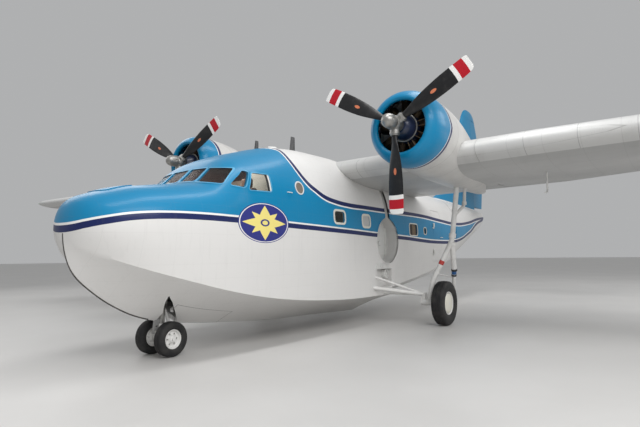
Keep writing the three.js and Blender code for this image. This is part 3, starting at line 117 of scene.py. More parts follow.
class Finish:
    def __init__(self, name, **fixed):
        self.material = bpy.data.materials.new(name)
        self.material.use_nodes = True
        self.tree = self.material.node_tree
        self.shader = self.tree.nodes["Principled BSDF"]
        for socket, value in fixed.items():
            self.shader.inputs[socket.replace("_", " ")].default_value = value
        self.spot = self.node("ShaderNodeTexCoord", output="Object")
        split = self.node("ShaderNodeSeparateXYZ", {}, [self.spot])
        self.x = split - NOSE.x
        self.y = Shade(self, split.socket.node.outputs["Y"])
        self.z = Shade(self, split.socket.node.outputs["Z"])

    def node(self, kind, settings=None, values=(), output=0):
        made = self.tree.nodes.new(kind)
        for key, setting in (settings or {}).items():
            if key == "points":
                line = made.mapping.curves[0].points
                while len(line) < len(setting):
                    line.new(1, 1)
                for point, place in zip(line, setting):
                    point.location = place
                made.mapping.update()
            else:
                setattr(made, key, setting)
        pairs = values.items() if isinstance(values, dict) else enumerate(values)
        for key, value in pairs:
            self.feed(made.inputs[key], value)
        return Shade(self, made.outputs[output])

    def feed(self, socket, value):
        if isinstance(value, Shade):
            self.tree.links.new(value.socket, socket)
        else:
            socket.default_value = value

    def noise(self, scale, detail=4, stretch=(1, 1, 1)):
        """Cloudy values from 0 to 1, with a grain of 1/scale metres."""
        spot = self.node("ShaderNodeMapping", {}, {"Vector": self.spot, "Scale": stretch})
        values = {"Vector": spot, "Scale": scale, "Detail": detail, "Roughness": 0.55}
        return self.node("ShaderNodeTexNoise", {}, values)

    def mix(self, factor, below, above):
        """The colour below, covered by the one above as far as factor says."""
        return self.node("ShaderNodeMix", {"data_type": "RGBA"}, {0: factor, 6: below, 7: above}, output=2)

    def line(self, points, value, low, high, bottom, top):
        """A curve through points, from low to high, that gives values from bottom to top."""
        scaled = [((x - low) / (high - low), (z - bottom) / (top - bottom)) for x, z in points]
        share = self.node("ShaderNodeFloatCurve", {"points": scaled}, {"Value": (value - low) / (high - low)})
        return share * (top - bottom) + bottom

    def wear(self, colour, rough, bump, distance=0.001):
        """Joins colour, roughness and a bump height to the shader."""
        self.feed(self.shader.inputs["Base Color"], colour)
        self.feed(self.shader.inputs["Roughness"], rough)
        normal = self.node("ShaderNodeBump", {}, {"Height": bump, "Distance": distance})
        self.feed(self.shader.inputs["Normal"], normal)
        return self.material


# The floor is plain and pale, polished a little, under an even pale world and soft studio lamps.
# Long lamps above each side put soft streaks on the paint. Two small ones light the rooms behind the glass.
FLOOR_RADIUS = 160

slab = bmesh.new()
bmesh.ops.create_circle(slab, cap_ends=True, segments=96, radius=FLOOR_RADIUS)
floor_mesh = bpy.data.meshes.new("floor")
slab.to_mesh(floor_mesh)
floor = bpy.data.objects.new("floor", floor_mesh)
bpy.context.scene.collection.objects.link(floor)
concrete = Finish("floor_paint")
cloud = concrete.noise(0.35)
pale = concrete.mix(cloud.rise(0.35, 0.7), (0.58, 0.57, 0.555, 1), (0.62, 0.61, 0.595, 1))
floor_mesh.materials.append(concrete.wear(pale, cloud * 0.12 + 0.42, concrete.noise(40), 0.0002))

world = bpy.data.worlds.new("studio")
bpy.context.scene.world = world
world.use_nodes = True
world.node_tree.nodes["Background"].inputs["Color"].default_value = (0.86, 0.87, 0.88, 1)
world.node_tree.nodes["Background"].inputs["Strength"].default_value = 0.5
bpy.context.scene.view_settings.view_transform = "Standard"

LAMPS = (
    # name, x, y, z, length, width, watts, aimed at x, y, z
    ("lamp_key", -3.0, -15.0, 13.0, 14, 8, 1650, 5.0, -1.0, 2.0),
    ("lamp_fill", 20.0, -16.0, 12.0, 14, 8, 850, 11.0, 0.0, 3.0),
    ("lamp_far", 6.0, 17.0, 13.0, 16, 8, 850, 7.0, 1.0, 3.0),
    ("lamp_top", 4.0, -3.0, 15.0, 20, 3, 1050, 4.0, -2.0, 3.0),
    ("lamp_low", -8.0, -19.0, 5.0, 18, 6, 1250, 4.0, 0.0, 1.8),
    ("lamp_cockpit", 3.1, 0.0, 3.42, 0.9, 0.9, 26, 3.2, 0.0, 2.0),
    ("lamp_cabin", 4.75, 0.2, 3.3, 0.4, 0.4, 14, 5.3, 1.0, 3.35),
)
REFLECTED_LAMPS = ("lamp_key", "lamp_fill", "lamp_far", "lamp_top")
# The low lamp lights the aircraft alone, so no pool shows on the floor beside it.
off_floor = bpy.data.collections.new("off_floor")
off_floor.objects.link(floor)
off_floor.collection_objects[0].light_linking.link_state = "EXCLUDE"
for name, x, y, z, length, width, watts, aim_x, aim_y, aim_z in LAMPS:
    light = bpy.data.lights.new(name, "AREA")
    light.shape = "RECTANGLE"
    light.size, light.size_y, light.energy = length, width, watts
    lamp = bpy.data.objects.new(name, light)
    place = Vector((x, y, z))
    aim = (Vector((aim_x, aim_y, aim_z)) - place).to_track_quat("-Z", "Y")
    lamp.matrix_world = Matrix.Translation(place + NOSE) @ aim.to_matrix().to_4x4()
    lamp.visible_camera = False
    lamp.visible_glossy = name in REFLECTED_LAMPS
    if name == "lamp_low":
        lamp.light_linking.receiver_collection = off_floor
    bpy.context.scene.collection.objects.link(lamp)


# The hull is a stressed skin of riveted sheet over frames: a deep forebody with a hard chine and a hollowed
# bottom, a step under the wing, and a second step before the tail cone. It is made from cross sections.
FORE_ROWS = (
    # x, keel, chine, chine half width, widest height, half width there, squareness of the crown
    (0, 2.01, 2.03, 0.03, 2.08, 0.05, 2.0),
    (0.13, 1.46, 1.76, 0.33, 2.08, 0.52, 2.2),
    (0.43, 1.15, 1.61, 0.64, 2.08, 0.81, 2.4),
    (0.79, 0.90, 1.47, 0.85, 2.08, 0.99, 2.6),
    (1.20, 0.70, 1.34, 1.00, 2.08, 1.095, 2.8),
    (1.61, 0.58, 1.225, 1.095, 2.08, 1.16, 3.0),
    (1.98, 0.515, 1.125, 1.15, 2.08, 1.195, 3.4),
    (2.45, 0.455, 1.02, 1.19, 2.08, 1.225, 3.6),
    (2.84, 0.415, 0.945, 1.205, 2.08, 1.24, 3.0),
    (3.28, 0.375, 0.875, 1.215, 2.08, 1.245, 2.8),
    (4.15, 0.31, 0.775, 1.22, 2.08, 1.25, 2.6),
    (5.0, 0.272, 0.712, 1.22, 2.08, 1.25, 2.5),
    (5.9, 0.25, 0.668, 1.22, 2.08, 1.25, 2.5),
    (7.78, 0.18, 0.65, 1.22, 2.08, 1.25, 2.5),
)
CROWN_ROWS = (
    # x, height of the crown
    (0, 2.16), (0.13, 2.51), (0.43, 2.64), (0.79, 2.745), (1.20, 2.81), (1.61, 2.87), (1.98, 2.925),
    (2.03, 2.968), (2.40, 3.305), (2.45, 3.35), (2.84, 3.55), (3.28, 3.69), (4.15, 3.92), (5.0, 4.0),
    (5.9, 4.01), (7.78, 3.90), (9.9, 3.74), (11.9, 3.66), (13.0, 3.625), (14.6, 3.59), (16.4, 3.555),
    (18.0, 3.52), (18.85, 3.48),
)
MIDDLE_ROWS = (
    (7.78, 0.34, 0.83, 1.215, 2.08, 1.25, 2.5),
    (9.9, 0.56, 1.07, 1.15, 2.10, 1.235, 2.5),
    (11.9, 0.80, 1.33, 0.96, 2.18, 1.12, 2.4),
    (13.0, 0.945, 1.49, 0.80, 2.26, 1.01, 2.3),
)
TAIL_ROWS = (
    (13.08, 1.09, 1.56, 0.74, 2.265, 1.0, 2.3),
    (14.6, 1.48, 1.85, 0.52, 2.42, 0.81, 2.2),
    (16.4, 2.06, 2.29, 0.30, 2.66, 0.56, 2.1),
    (18.0, 2.66, 2.79, 0.15, 2.96, 0.30, 2.0),
    (18.85, 3.04, 3.09, 0.06, 3.20, 0.13, 2.0),
)
HOLLOW = 0.09


def faired(rows, at, ease=lambda x: x):
    """The row at a place between a table's rows, on smooth curves that never overshoot."""
    places = [ease(row[0]) for row in rows]
    spot = ease(at)
    last = len(rows) - 2
    index = min(last, max(0, sum(place <= spot for place in places) - 1))
    found = []
    for column in range(1, len(rows[0])):
        values = [row[column] for row in rows]
        steps = [(values[i + 1] - values[i]) / (places[i + 1] - places[i]) for i in range(last + 1)]

        def slope(i):
            if i == 0 or i > last:
                return steps[min(i, last)]
            before, after = steps[i - 1], steps[i]
            return 0 if before * after <= 0 else 2 * before * after / (before + after)

        width = places[index + 1] - places[index]
        t = (spot - places[index]) / width
        rise = values[index + 1] - values[index]
        bend = (slope(index) * width - rise) * (1 - t) + (rise - slope(index + 1) * width) * t
        found.append(values[index] + rise * t + t * (1 - t) * bend)
    return found


def hull_ring(rows, x, inset=0, ease=lambda value: value):
    """Points of one hull cross section, from the keel up the starboard side and down the port side."""
    keel, chine, chine_half, beam_z, beam_half, square = faired(rows, x, ease)
    top = faired(CROWN_ROWS, x, ease)[0]
    half = []
    for step in range(11):
        s = step / 10
        bottom = keel + inset + (chine - keel) * (s + HOLLOW * math.sin(math.pi * s))
        half.append((s * max(chine_half - inset, 0.004), bottom))
    for step in range(1, 9):
        s = step / 8
        out = chine_half + (beam_half - chine_half) * math.sin(s * math.pi / 2)
        half.append((max(out - inset, 0.006), chine + inset + (beam_z - chine - inset) * s))
    for step in range(1, 21):
        t = math.radians(90 * step / 20)
        across = 0 if step == 20 else math.cos(t) ** (2 / square)
        rise = math.sin(t) ** (2 / square)
        half.append((max(beam_half - inset, 0.006) * across, beam_z + (top - inset - beam_z) * rise))
    starboard = [Vector((x, y, z)) for y, z in half]
    return starboard + [Vector((x, -y, z)) for y, z in reversed(half[1:-1])]


def loft(solid, rings):
    """Joins rings of points into one closed skin, with a flat face at each end."""
    loops = []
    for points in rings:
        corners = [solid.verts.new(point) for point in points]
        loops.append([solid.edges.new((a, b)) for a, b in zip(corners, corners[1:] + corners[:1])])
    for before, after in zip(loops, loops[1:]):
        bmesh.ops.bridge_loops(solid, edges=before + after)
    for loop in (loops[0], loops[-1]):
        bmesh.ops.contextual_create(solid, geom=loop)


def mesh_of(solid, name):
    bmesh.ops.recalc_face_normals(solid, faces=solid.faces)
    mesh = bpy.data.meshes.new(name)
    solid.to_mesh(mesh)
    solid.free()
    return mesh


def stations(low, high, count):
    return [low + (high - low) * i / count for i in range(count + 1)]


def hull_body(inset=0.0):
    """The whole hull as one closed solid, drawn in by inset."""
    first = 0 if inset <= 0 else 0.7
    runs = (
        (FORE_ROWS, [x * x for x in stations(math.sqrt(first), math.sqrt(7.78), 64)], math.sqrt),
        (MIDDLE_ROWS, stations(7.78 if inset <= 0 else 7.70, 13.0, 36), float),
        (TAIL_ROWS, stations(13.08, 18.85 if inset <= 0 else 17.9, 34), float),
    )
    whole = None
    for rows, places, ease in runs:
        part = bmesh.new()
        loft(part, [hull_ring(rows, x, inset, ease) for x in places])
        mesh = mesh_of(part, "hull")
        whole = mesh if whole is None else joined(whole, mesh)
    return whole


def combined(base, tool, operation):
    """One closed mesh added to, cut by or kept inside another."""
    work = bpy.data.objects.new("work", base)
    other = bpy.data.objects.new("tool", tool)
    for thing in (work, other):
        bpy.context.scene.collection.objects.link(thing)
    step = work.modifiers.new("step", "BOOLEAN")
    step.operation, step.object, step.solver = operation, other, "MANIFOLD"
    bpy.context.view_layer.update()
    result = bpy.data.meshes.new_from_object(work.evaluated_get(bpy.context.evaluated_depsgraph_get()))
    bpy.data.objects.remove(work)
    bpy.data.objects.remove(other)
    return result


def joined(base, tool):
    return combined(base, tool, "UNION")


def cut(base, *tools):
    for tool in tools:
        base = combined(base, tool, "DIFFERENCE")
    return base


def kept(base, tool):
    return combined(base, tool, "INTERSECT")


def box_mesh(x, y, z, rounding=0.0, segments=4):
    solid = bmesh.new()
    bmesh.ops.create_cube(solid, size=1)
    for v in solid.verts:
        v.co = Vector([low + (high - low) * (c + 0.5) for c, (low, high) in zip(v.co, (x, y, z))])
    if rounding:
        bmesh.ops.bevel(
            solid, geom=solid.edges[:], offset=rounding, affect="EDGES", segments=segments, profile=0.5,
            material=-1,
        )
    return mesh_of(solid, "box")


def outboard(side, inner, outer):
    """The two places on one side of the hull, low before high."""
    return sorted((side * inner, side * outer))


def drawn(outline, low, high, normal="y", rounding=0.0, segments=4):
    """A closed block: an outline across one axis, its corners rounded, drawn out along that axis."""
    def spot(a, b, along):
        return {"x": (along, a, b), "y": (a, along, b), "z": (a, b, along)}[normal]

    solid = bmesh.new()
    face = solid.faces.new([solid.verts.new(spot(a, b, low)) for a, b in outline])
    if rounding:
        bmesh.ops.bevel(
            solid, geom=list(face.verts), offset=rounding, affect="VERTICES", segments=segments,
            profile=0.5, material=-1,
        )
    way = Vector(spot(0, 0, high)) - Vector(spot(0, 0, low))
    lifted = bmesh.ops.extrude_face_region(solid, geom=solid.faces[:])["geom"]
    bmesh.ops.translate(solid, vec=way, verts=[v for v in lifted if isinstance(v, bmesh.types.BMVert)])
    return mesh_of(solid, "block")


def rod(start, end, radius, sides=24):
    start, end = Vector(start), Vector(end)
    turn = (end - start).to_track_quat("Z", "Y").to_matrix().to_4x4()
    place = Matrix.Translation((start + end) / 2) @ turn
    solid = bmesh.new()
    bmesh.ops.create_cone(
        solid, cap_ends=True, segments=sides, radius1=radius, radius2=radius, depth=(end - start).length,
        matrix=place,
    )
    return mesh_of(solid, "rod")


def show(name, mesh, finish, slot, body="airframe", nodes=(), angle=35):
    """Puts one finished piece in the scene and ties it to its CAD body and nodes. The material slot it is
    given is not used.
    """
    piece = bpy.data.objects.new(name, mesh)
    mesh.name = name
    mesh.transform(Matrix.Translation(NOSE))
    mesh.materials.clear()
    mesh.materials.append(finish)
    mesh.shade_smooth()
    mesh.set_sharp_from_angle(angle=math.radians(angle))
    bpy.context.scene.collection.objects.link(piece)
    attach(piece, body)
    if nodes:
        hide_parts(*nodes)
    return piece


def stand_in(name, *details, **more):
    """A piece that stands for the CAD node of its own name."""
    return show(name, *details, nodes=[name], **more)


HANDS = ((-1, "port"), (1, "starboard"))


# Livery. Blue covers the bow, the cockpit and a band along the windows. A white line and a navy line edge it.
# It is gloss paint over the riveted sheet.
UPPER_STRIPE = (
    # x, z of the navy line's middle, from the cockpit roof down and aft
    (4.19, 3.95), (4.10, 3.77), (4.06, 3.615), (4.09, 3.455), (4.19, 3.265), (4.36, 3.095), (4.60, 2.97),
    (4.86, 2.865), (5.26, 2.795), (5.86, 2.757), (6.52, 2.755), (7.25, 2.75), (9.69, 2.745), (11.17, 2.69),
    (13.0, 2.66), (15.0, 2.80), (17.0, 3.05), (18.85, 3.22),
)
LOWER_STRIPE = (
    (0, 2.063), (0.06, 2.098), (0.31, 2.172), (0.64, 2.229), (1.06, 2.255), (1.55, 2.26), (2.24, 2.248),
    (3.10, 2.227), (3.81, 2.204), (4.50, 2.187), (5.24, 2.167), (6.00, 2.145), (6.85, 2.116), (8.41, 2.075),
    (10.8, 2.00), (13.0, 2.07), (15.0, 2.40), (17.0, 2.90), (18.85, 3.15),
)
NAVY_HALF, WHITE_EDGE = 0.046, 0.078
HULL_WHITE = (0.67, 0.66, 0.645, 1)
LINE_WHITE = (0.80, 0.79, 0.77, 1)
SKY_BLUE = (0.0, 0.195, 0.385, 1)
NAVY = (0.005, 0.013, 0.085, 1)
EMBLEM_VIOLET = (0.026, 0.032, 0.20, 1)
EMBLEM_YELLOW = (0.82, 0.70, 0.22, 1)
FRAME_PITCH, STRINGER_PITCH, SPAR_PITCH, RIVET_PITCH = 0.46, 0.235, 0.52, 0.042
EMBLEM = (2.95, 2.2275, 0.65, 0.3575)
NOSE_DOOR_X, NOSE_DOOR_HALF, NOSE_DOOR_Y, NOSE_DOOR_Z = 2.33, 0.62, 0.43, 1.15


def curve_distance(paint, points, along, across, low, high):
    """Distance above a line given as points, in the two values that the points name."""
    bottom = min(b for a, b in points) - 0.5
    top = max(b for a, b in points) + 0.5
    held = along.most(low).least(high)
    here = paint.line(points, held, low, high, bottom, top)
    step = 0.08
    slope = (paint.line(points, held + step, low, high, bottom, top) - here) / step
    return (across - here) / ((slope * slope + 1) ** 0.5)


def hull_colour(paint):
    """Blue band with its two lines over the grey white of the hull."""
    half = math.sqrt(0.5)
    turned = [((x - z) * half, (x + z) * half) for x, z in UPPER_STRIPE]
    upper = curve_distance(paint, turned, (paint.x - paint.z) * half, (paint.x + paint.z) * half, 0.17, 11.4)
    lower = curve_distance(paint, LOWER_STRIPE, paint.x, paint.z, 0, 18.9)
    inside = (0 - upper).least(lower)
    white = paint.mix(inside.step(-NAVY_HALF), HULL_WHITE, NAVY)
    line = paint.mix(inside.step(NAVY_HALF), white, LINE_WHITE)
    return paint.mix(inside.step(WHITE_EDGE), line, SKY_BLUE)


def emblem(paint, below):
    """A plain violet oval with a thin rim and a broad pale compass star, on both sides of the cockpit."""
    x, z, half_length, half_height = EMBLEM
    across = (paint.x - x) / half_length
    over = (paint.z - z) / half_height
    reach = across.length(over)
    spread = paint.node("ShaderNodeMath", {"operation": "ARCTAN2"}, (over, across))

    def star(turn, long, sharp):
        folded = abs(((spread + turn) / (math.pi / 2) + 8.5) % 1.0 - 0.5) * (math.pi / 2)
        return (long / (folded * sharp + 1)) - reach

    points = star(0, 0.86, 2.0).most(star(math.pi / 4, 0.72, 2.3))
    rim = paint.mix(reach.rise(0.995, 1.005), EMBLEM_VIOLET, below)
    line = paint.mix(reach.rise(0.960, 0.968), LINE_WHITE, rim)
    field = paint.mix(reach.rise(0.925, 0.933), EMBLEM_VIOLET, line)
    compass = paint.mix(points.rise(-0.008, 0.008), field, EMBLEM_YELLOW)
    ring = paint.mix(reach.rise(0.175, 0.185), EMBLEM_VIOLET, compass)
    return paint.mix(reach.rise(0.105, 0.115), EMBLEM_YELLOW, ring)


def plating(one, one_pitch, other, other_pitch, widths, inset, head):
    """Seams (0 in a seam) at a pitch each way, and a row of rivet heads beside each."""
    first, second = one.apart(one_pitch), other.apart(other_pitch)
    seam = first.rise(*widths[0]).least(second.rise(*widths[1]))
    first_row = (first - inset).length(other.apart(RIVET_PITCH))
    second_row = (second - inset).length(one.apart(RIVET_PITCH))
    return seam, 1 - first_row.least(second_row).rise(0.002, head)


def clouded(scale, low, high):
    """Colouring for a plain paint: two near shades in soft clouds."""
    return lambda paint: paint.mix(paint.noise(scale), low, high)


def skin_finish(name, colouring, coat=0.2, rough=0.33, seams=1.0):
    """Gloss paint over riveted sheet: faint lap joints, rivet rows, streaks and a slight unevenness."""
    paint = Finish(name, Coat_Weight=coat, Coat_Roughness=0.16, Specular_IOR_Level=0.28)
    colour = colouring(paint)
    cloud = paint.noise(1.3, 5)
    fine = paint.noise(60, 3)
    streak = paint.noise(3.0, 4, (6, 6, 0.5))
    widths = ((0.0006, 0.0022), (0.0006, 0.0020))
    seam, rivets = plating(paint.x, FRAME_PITCH, paint.z, STRINGER_PITCH, widths, 0.014, 0.0045)
    dirt = (1 - seam) * (0.13 * seams) + rivets * (0.03 * seams)
    dirt = dirt + streak.rise(0.52, 0.78) * 0.05 + cloud.rise(0.5, 0.8) * 0.04
    worn = paint.mix(dirt, colour, (0.16, 0.15, 0.14, 1))
    height = seam * (0.5 * seams) + rivets * (0.5 * seams) + cloud * 1.1
    return paint.wear(worn, cloud * 0.16 + fine * 0.05 + rough, height, 0.0012)


def hull_paint(paint):
    """The livery, with the closed nose gear doors as a thin dark line under the bow."""
    along = abs(paint.x - NOSE_DOOR_X) - NOSE_DOOR_HALF
    gap = abs(along.most(abs(paint.y) - NOSE_DOOR_Y)).least(abs(paint.y).most(along * 10))
    edge = (1 - gap.rise(0.003, 0.006)) * (paint.z < NOSE_DOOR_Z)
    return emblem(paint, paint.mix(edge * 0.8, hull_colour(paint), (0.05, 0.05, 0.05, 1)))


hull_skin = skin_finish("hull_paint", hull_paint)

WALL = 0.04
COCKPIT_FLOOR, CABIN_FLOOR, ROOF_JOINT = 1.85, 1.35, 3.05
BOW_END, COCKPIT_END, STEP, CABIN_END = 1.2, 4.15, 7.78, 11.9
SIDES = (-3, 3)
outer_hull = hull_body()
inner_hull = hull_body(WALL)


def slice_of(mesh, x, z, y=SIDES):
    return kept(mesh, box_mesh(x, y, z))


bow = slice_of(outer_hull, (-1, BOW_END), (0, 5))
stand_in("bow", bow, hull_skin, "blue_paint", angle=24)

# Bow fittings: a worn dark chafing strip along the stem, and the low raised lid of the mooring hatch on top.
# The strip is rubber, and the lid is pressed sheet.
STEM_AFT, STEM_HALF = 1.45, 0.016
LID_X, LID_HALF, LID_RISE = (0.46, 0.98), 0.27, 0.014


def shell(outer_inset, inner_inset):
    return cut(hull_body(outer_inset), hull_body(inner_inset))


def rectangle(x, z, by=0.0):
    return ((x[0] - by, z[0] - by), (x[1] + by, z[0] - by), (x[1] + by, z[1] + by), (x[0] - by, z[1] + by))


stem = slice_of(shell(-0.007, 0.001), (-0.1, STEM_AFT), (0, 2.0), (-STEM_HALF, STEM_HALF))
stem_rubber = Finish("stem_rubber")
stem_cloud = stem_rubber.noise(9, 5)
stem_shade = stem_rubber.mix(stem_cloud.rise(0.3, 0.7), (0.030, 0.028, 0.026, 1), (0.10, 0.095, 0.09, 1))
show("stem_strip", stem, stem_rubber.wear(stem_shade, stem_cloud * 0.2 + 0.5, stem_cloud), "white_paint")
lid_block = drawn(rectangle(LID_X, (-LID_HALF, LID_HALF)), 2.3, 3.3, "z", rounding=0.11, segments=8)
lid = kept(shell(-LID_RISE, 0.001), lid_block)
show("mooring_hatch", lid, hull_skin, "blue_paint")

# Cockpit shell: the blue crew cabin over its floor, a riveted frame that carries the windscreen and side
# windows. Each opening has a slim raised frame, and the panes lie almost flush behind it.
SIDE_WINDOWS = (
    ((2.227, 2.846), (2.561, 3.144), (2.704, 3.120), (2.504, 2.817)),
    ((2.588, 2.789), (2.767, 3.122), (3.205, 3.133), (3.190, 2.813)),
)
SCREEN_PANES = (
    # four corners of a pane seen from ahead, as y and z
    ((0.030, 2.965), (0.030, 3.225), (0.448, 3.210), (0.465, 2.942)),
    ((0.515, 2.929), (0.490, 3.204), (0.962, 3.170), (1.025, 2.863)),
)
PANE_DEPTH = (0.010, 0.018)
FRAME_LIP, FRAME_RISE = 0.017, 0.007
SLIDER_BARS = (
    # the aft edge of the sliding window, its corners as x and z, and its shade
    ("black", ((3.115, 2.80), (3.125, 3.128), (3.157, 3.130), (3.147, 2.805))),
    ("white", ((3.150, 2.805), (3.160, 3.130), (3.200, 3.131), (3.187, 2.815))),
)


def grown(outline, by):
    """The same outline with each corner pushed out from the middle."""
    middle = Vector((sum(a for a, b in outline) / len(outline), sum(b for a, b in outline) / len(outline)))
    return [tuple(Vector(p) + Vector([math.copysign(by, d) for d in Vector(p) - middle])) for p in outline]


def mirrored(points, side):
    return [(side * a, b) for a, b in points]


def cockpit_openings(by):
    blocks = []
    for side in (-1, 1):
        for outline in SIDE_WINDOWS:
            blocks.append(drawn(grown(outline, by), *outboard(side, 0.7, 1.5), rounding=0.045 + by))
        for outline in SCREEN_PANES:
            blocks.append(drawn(mirrored(grown(outline, by), side), 1.85, 2.56, "x", rounding=0.03 + by))
    return blocks


cockpit_room = kept(inner_hull, box_mesh((1.64, 4.3), SIDES, (COCKPIT_FLOOR - 0.05, 5)))
cockpit = slice_of(cut(outer_hull, cockpit_room), (BOW_END, COCKPIT_END), (COCKPIT_FLOOR, 5))
rims = shell(-FRAME_RISE, 0.0005)
pane_shell = shell(*PANE_DEPTH)
cockpit_trim = slice_of(shell(WALL + 0.0006, WALL + 0.008), (1.66, 4.10), (COCKPIT_FLOOR + 0.01, 5))
lips, panes = [], []
for hole, opening in zip(cockpit_openings(0), cockpit_openings(FRAME_LIP)):
    lips.append(cut(kept(rims, opening), hole))
    panes.append(kept(pane_shell, opening))
    cockpit_trim = cut(cockpit_trim, hole)
cockpit = cut(cockpit, *cockpit_openings(0))
stand_in("cockpit_shell", cockpit, hull_skin, "blue_paint")


def torus(along, out, thick):
    """Profile of a round ring for turned: its place along the axis, its radius and its thickness."""
    turns = stations(0, math.tau * 11 / 12, 11)
    return [(along + thick * math.cos(t), out + thick * math.sin(t)) for t in turns]


def gathered(*meshes):
    """Several closed meshes as one mesh of separate solids."""
    solid = bmesh.new()
    for mesh in meshes:
        solid.from_mesh(mesh)
    whole = bpy.data.meshes.new("gathered")
    solid.to_mesh(whole)
    solid.free()
    return whole


def pipe(points, radius, bend=0.09, sides=20):
    """A round tube along points, with each corner eased into a curve."""
    points = [Vector(p) for p in points]
    path = [points[0]]
    for before, corner, after in zip(points, points[1:], points[2:]):
        entry = corner + (before - corner).normalized() * bend
        leave = corner + (after - corner).normalized() * bend
        path += [entry.lerp(corner, t).lerp(corner.lerp(leave, t), t) for t in stations(0, 1, 6)]
    path.append(points[-1])
    rings = []
    across = None
    for i, spot in enumerate(path):
        way = (path[min(i + 1, len(path) - 1)] - path[max(i - 1, 0)]).normalized()
        if across is None:
            across = way.orthogonal().normalized()
        across = (across - way * across.dot(way)).normalized()
        over = way.cross(across)
        rings.append([
            spot + (across * math.cos(math.tau * k / sides) + over * math.sin(math.tau * k / sides)) * radius
            for k in range(sides)
        ])
    return lofted(rings)


def lofted(rings):
    solid = bmesh.new()
    loft(solid, rings)
    return mesh_of(solid, "loft")


def smooth_line(points, steps=4):
    """More points on a smooth curve through these."""
    points = [Vector(p) for p in points]
    found = []
    for i in range(len(points) - 1):
        before, after = points[max(i - 1, 0)], points[min(i + 2, len(points) - 1)]
        a, b = points[i], points[i + 1]
        for step in range(steps):
            t = step / steps
            found.append(a + (b - a) * t + ((b - before) * (1 - t) - (after - a) * t) * (0.5 * t * (1 - t)))
    return found + [points[-1]]


def turned(profile, centre, axis="x", steps=96, closed=False):
    """A solid of revolution; profile points are (along the axis, radius)."""
    way = {"x": Vector((1, 0, 0)), "y": Vector((0, 1, 0)), "z": Vector((0, 0, 1))}[axis]
    out = {"x": Vector((0, 0, 1)), "y": Vector((0, 0, 1)), "z": Vector((1, 0, 0))}[axis]
    centre = Vector(centre)
    solid = bmesh.new()
    line = [solid.verts.new(centre + way * along + out * radius) for along, radius in profile]
    pairs = list(zip(line, line[1:])) + ([(line[-1], line[0])] if closed else [])
    edges = [solid.edges.new(pair) for pair in pairs]
    bmesh.ops.spin(
        solid, geom=line + edges, cent=centre, axis=way, angle=math.tau, steps=steps, use_merge=True,
        dvec=(0, 0, 0),
    )
    bmesh.ops.remove_doubles(solid, verts=solid.verts, dist=0.00005)
    return mesh_of(solid, "turned")


def collar(start, end, at, radius, width):
    """A band round a tube, at a share of the way from start to end."""
    start, end = Vector(start), Vector(end)
    turn = (end - start).normalized().to_track_quat("Z", "Y").to_matrix().to_4x4()
    solid = bmesh.new()
    bmesh.ops.create_cone(
        solid, cap_ends=True, segments=32, radius1=radius, radius2=radius, depth=width,
        matrix=Matrix.Translation(start.lerp(end, at)) @ turn,
    )
    rims = [edge for edge in solid.edges if len(edge.link_faces) == 2 and edge.calc_face_angle(0) > 1]
    bmesh.ops.bevel(
        solid, geom=rims, offset=min(width * 0.25, 0.004), affect="EDGES", segments=2, profile=0.5,
        material=-1,
    )
    return mesh_of(solid, "collar")


def painted(name, low, high, rough=0.3, coat=0.3, scale=6, grime=0.25, metallic=0.0):
    """Paint on small castings and tubes: two near shades, worn and a little dirty."""
    paint = Finish(name, Coat_Weight=coat, Metallic=metallic)
    cloud, fine = paint.noise(scale, 5), paint.noise(70, 3)
    colour = paint.mix(cloud, low, high)
    soiled = paint.mix(paint.noise(3.5, 5).rise(0.5, 0.8) * grime, colour, (0.10, 0.09, 0.075, 1))
    return paint.wear(soiled, cloud * 0.2 + fine * 0.08 + rough, fine * 0.3 + cloud, 0.0006)


frame_blue = clouded(5, (0.05, 0.30, 0.52, 1), (0.10, 0.36, 0.56, 1))
frame_paint = skin_finish("window_frame_blue", frame_blue, seams=0.0)
show("cockpit_window_frames", gathered(*lips), frame_paint, "blue_paint")
bar_white = painted("slider_white", (0.60, 0.60, 0.58, 1), (0.70, 0.70, 0.68, 1))
bar_black = painted("slider_black", (0.012, 0.012, 0.013, 1), (0.03, 0.03, 0.03, 1), rough=0.5)
bar_shell = shell(0.002, 0.022)
for shade, outline in SLIDER_BARS:
    bars = [kept(bar_shell, drawn(outline, *outboard(side, 0.7, 1.5))) for side in (-1, 1)]
    finish = bar_white if shade == "white" else bar_black
    show(f"slider_bar_{shade}", gathered(*bars), finish, "blue_paint")

# Window panes: clear acrylic sheet, with faint streaks from wiping.
# Each is formed to the curve of the hull and clamped in its frame.
glazing = Finish("pane_acrylic", IOR=1.45, Specular_IOR_Level=0.3)
wiped = glazing.noise(7, 5, (1, 1, 4))
glass_tint = glazing.mix(wiped.rise(0.4, 0.8), (0.05, 0.055, 0.055, 1), (0.10, 0.105, 0.10, 1))
glazing.feed(glazing.shader.inputs["Alpha"], 0.16 + wiped * 0.08)
acrylic = glazing.wear(glass_tint, wiped * 0.08 + 0.08, glazing.noise(3), 0.0002)
stand_in("cockpit_glass", gathered(*panes), acrylic, "glass")

# Cockpit lining: padded panels inside the shell, dark red brown overhead and grey green below the windows.
# The panels are clipped to the frames.
TRIM_SPLIT = 2.72
trim = Finish("cockpit_trim", Sheen_Weight=0.2)
trim_cloud = trim.noise(6)
overhead = trim.mix(trim_cloud, (0.055, 0.016, 0.012, 1), (0.095, 0.030, 0.022, 1))
below_rail = trim.mix(trim_cloud, (0.13, 0.14, 0.12, 1), (0.19, 0.20, 0.17, 1))
trim_colour = trim.mix(trim.z.step(TRIM_SPLIT), below_rail, overhead)
trim_finish = trim.wear(trim_colour, trim_cloud * 0.1 + 0.7, trim.noise(90), 0.0008)
show("cockpit_lining", cockpit_trim, trim_finish, "interior_paint")

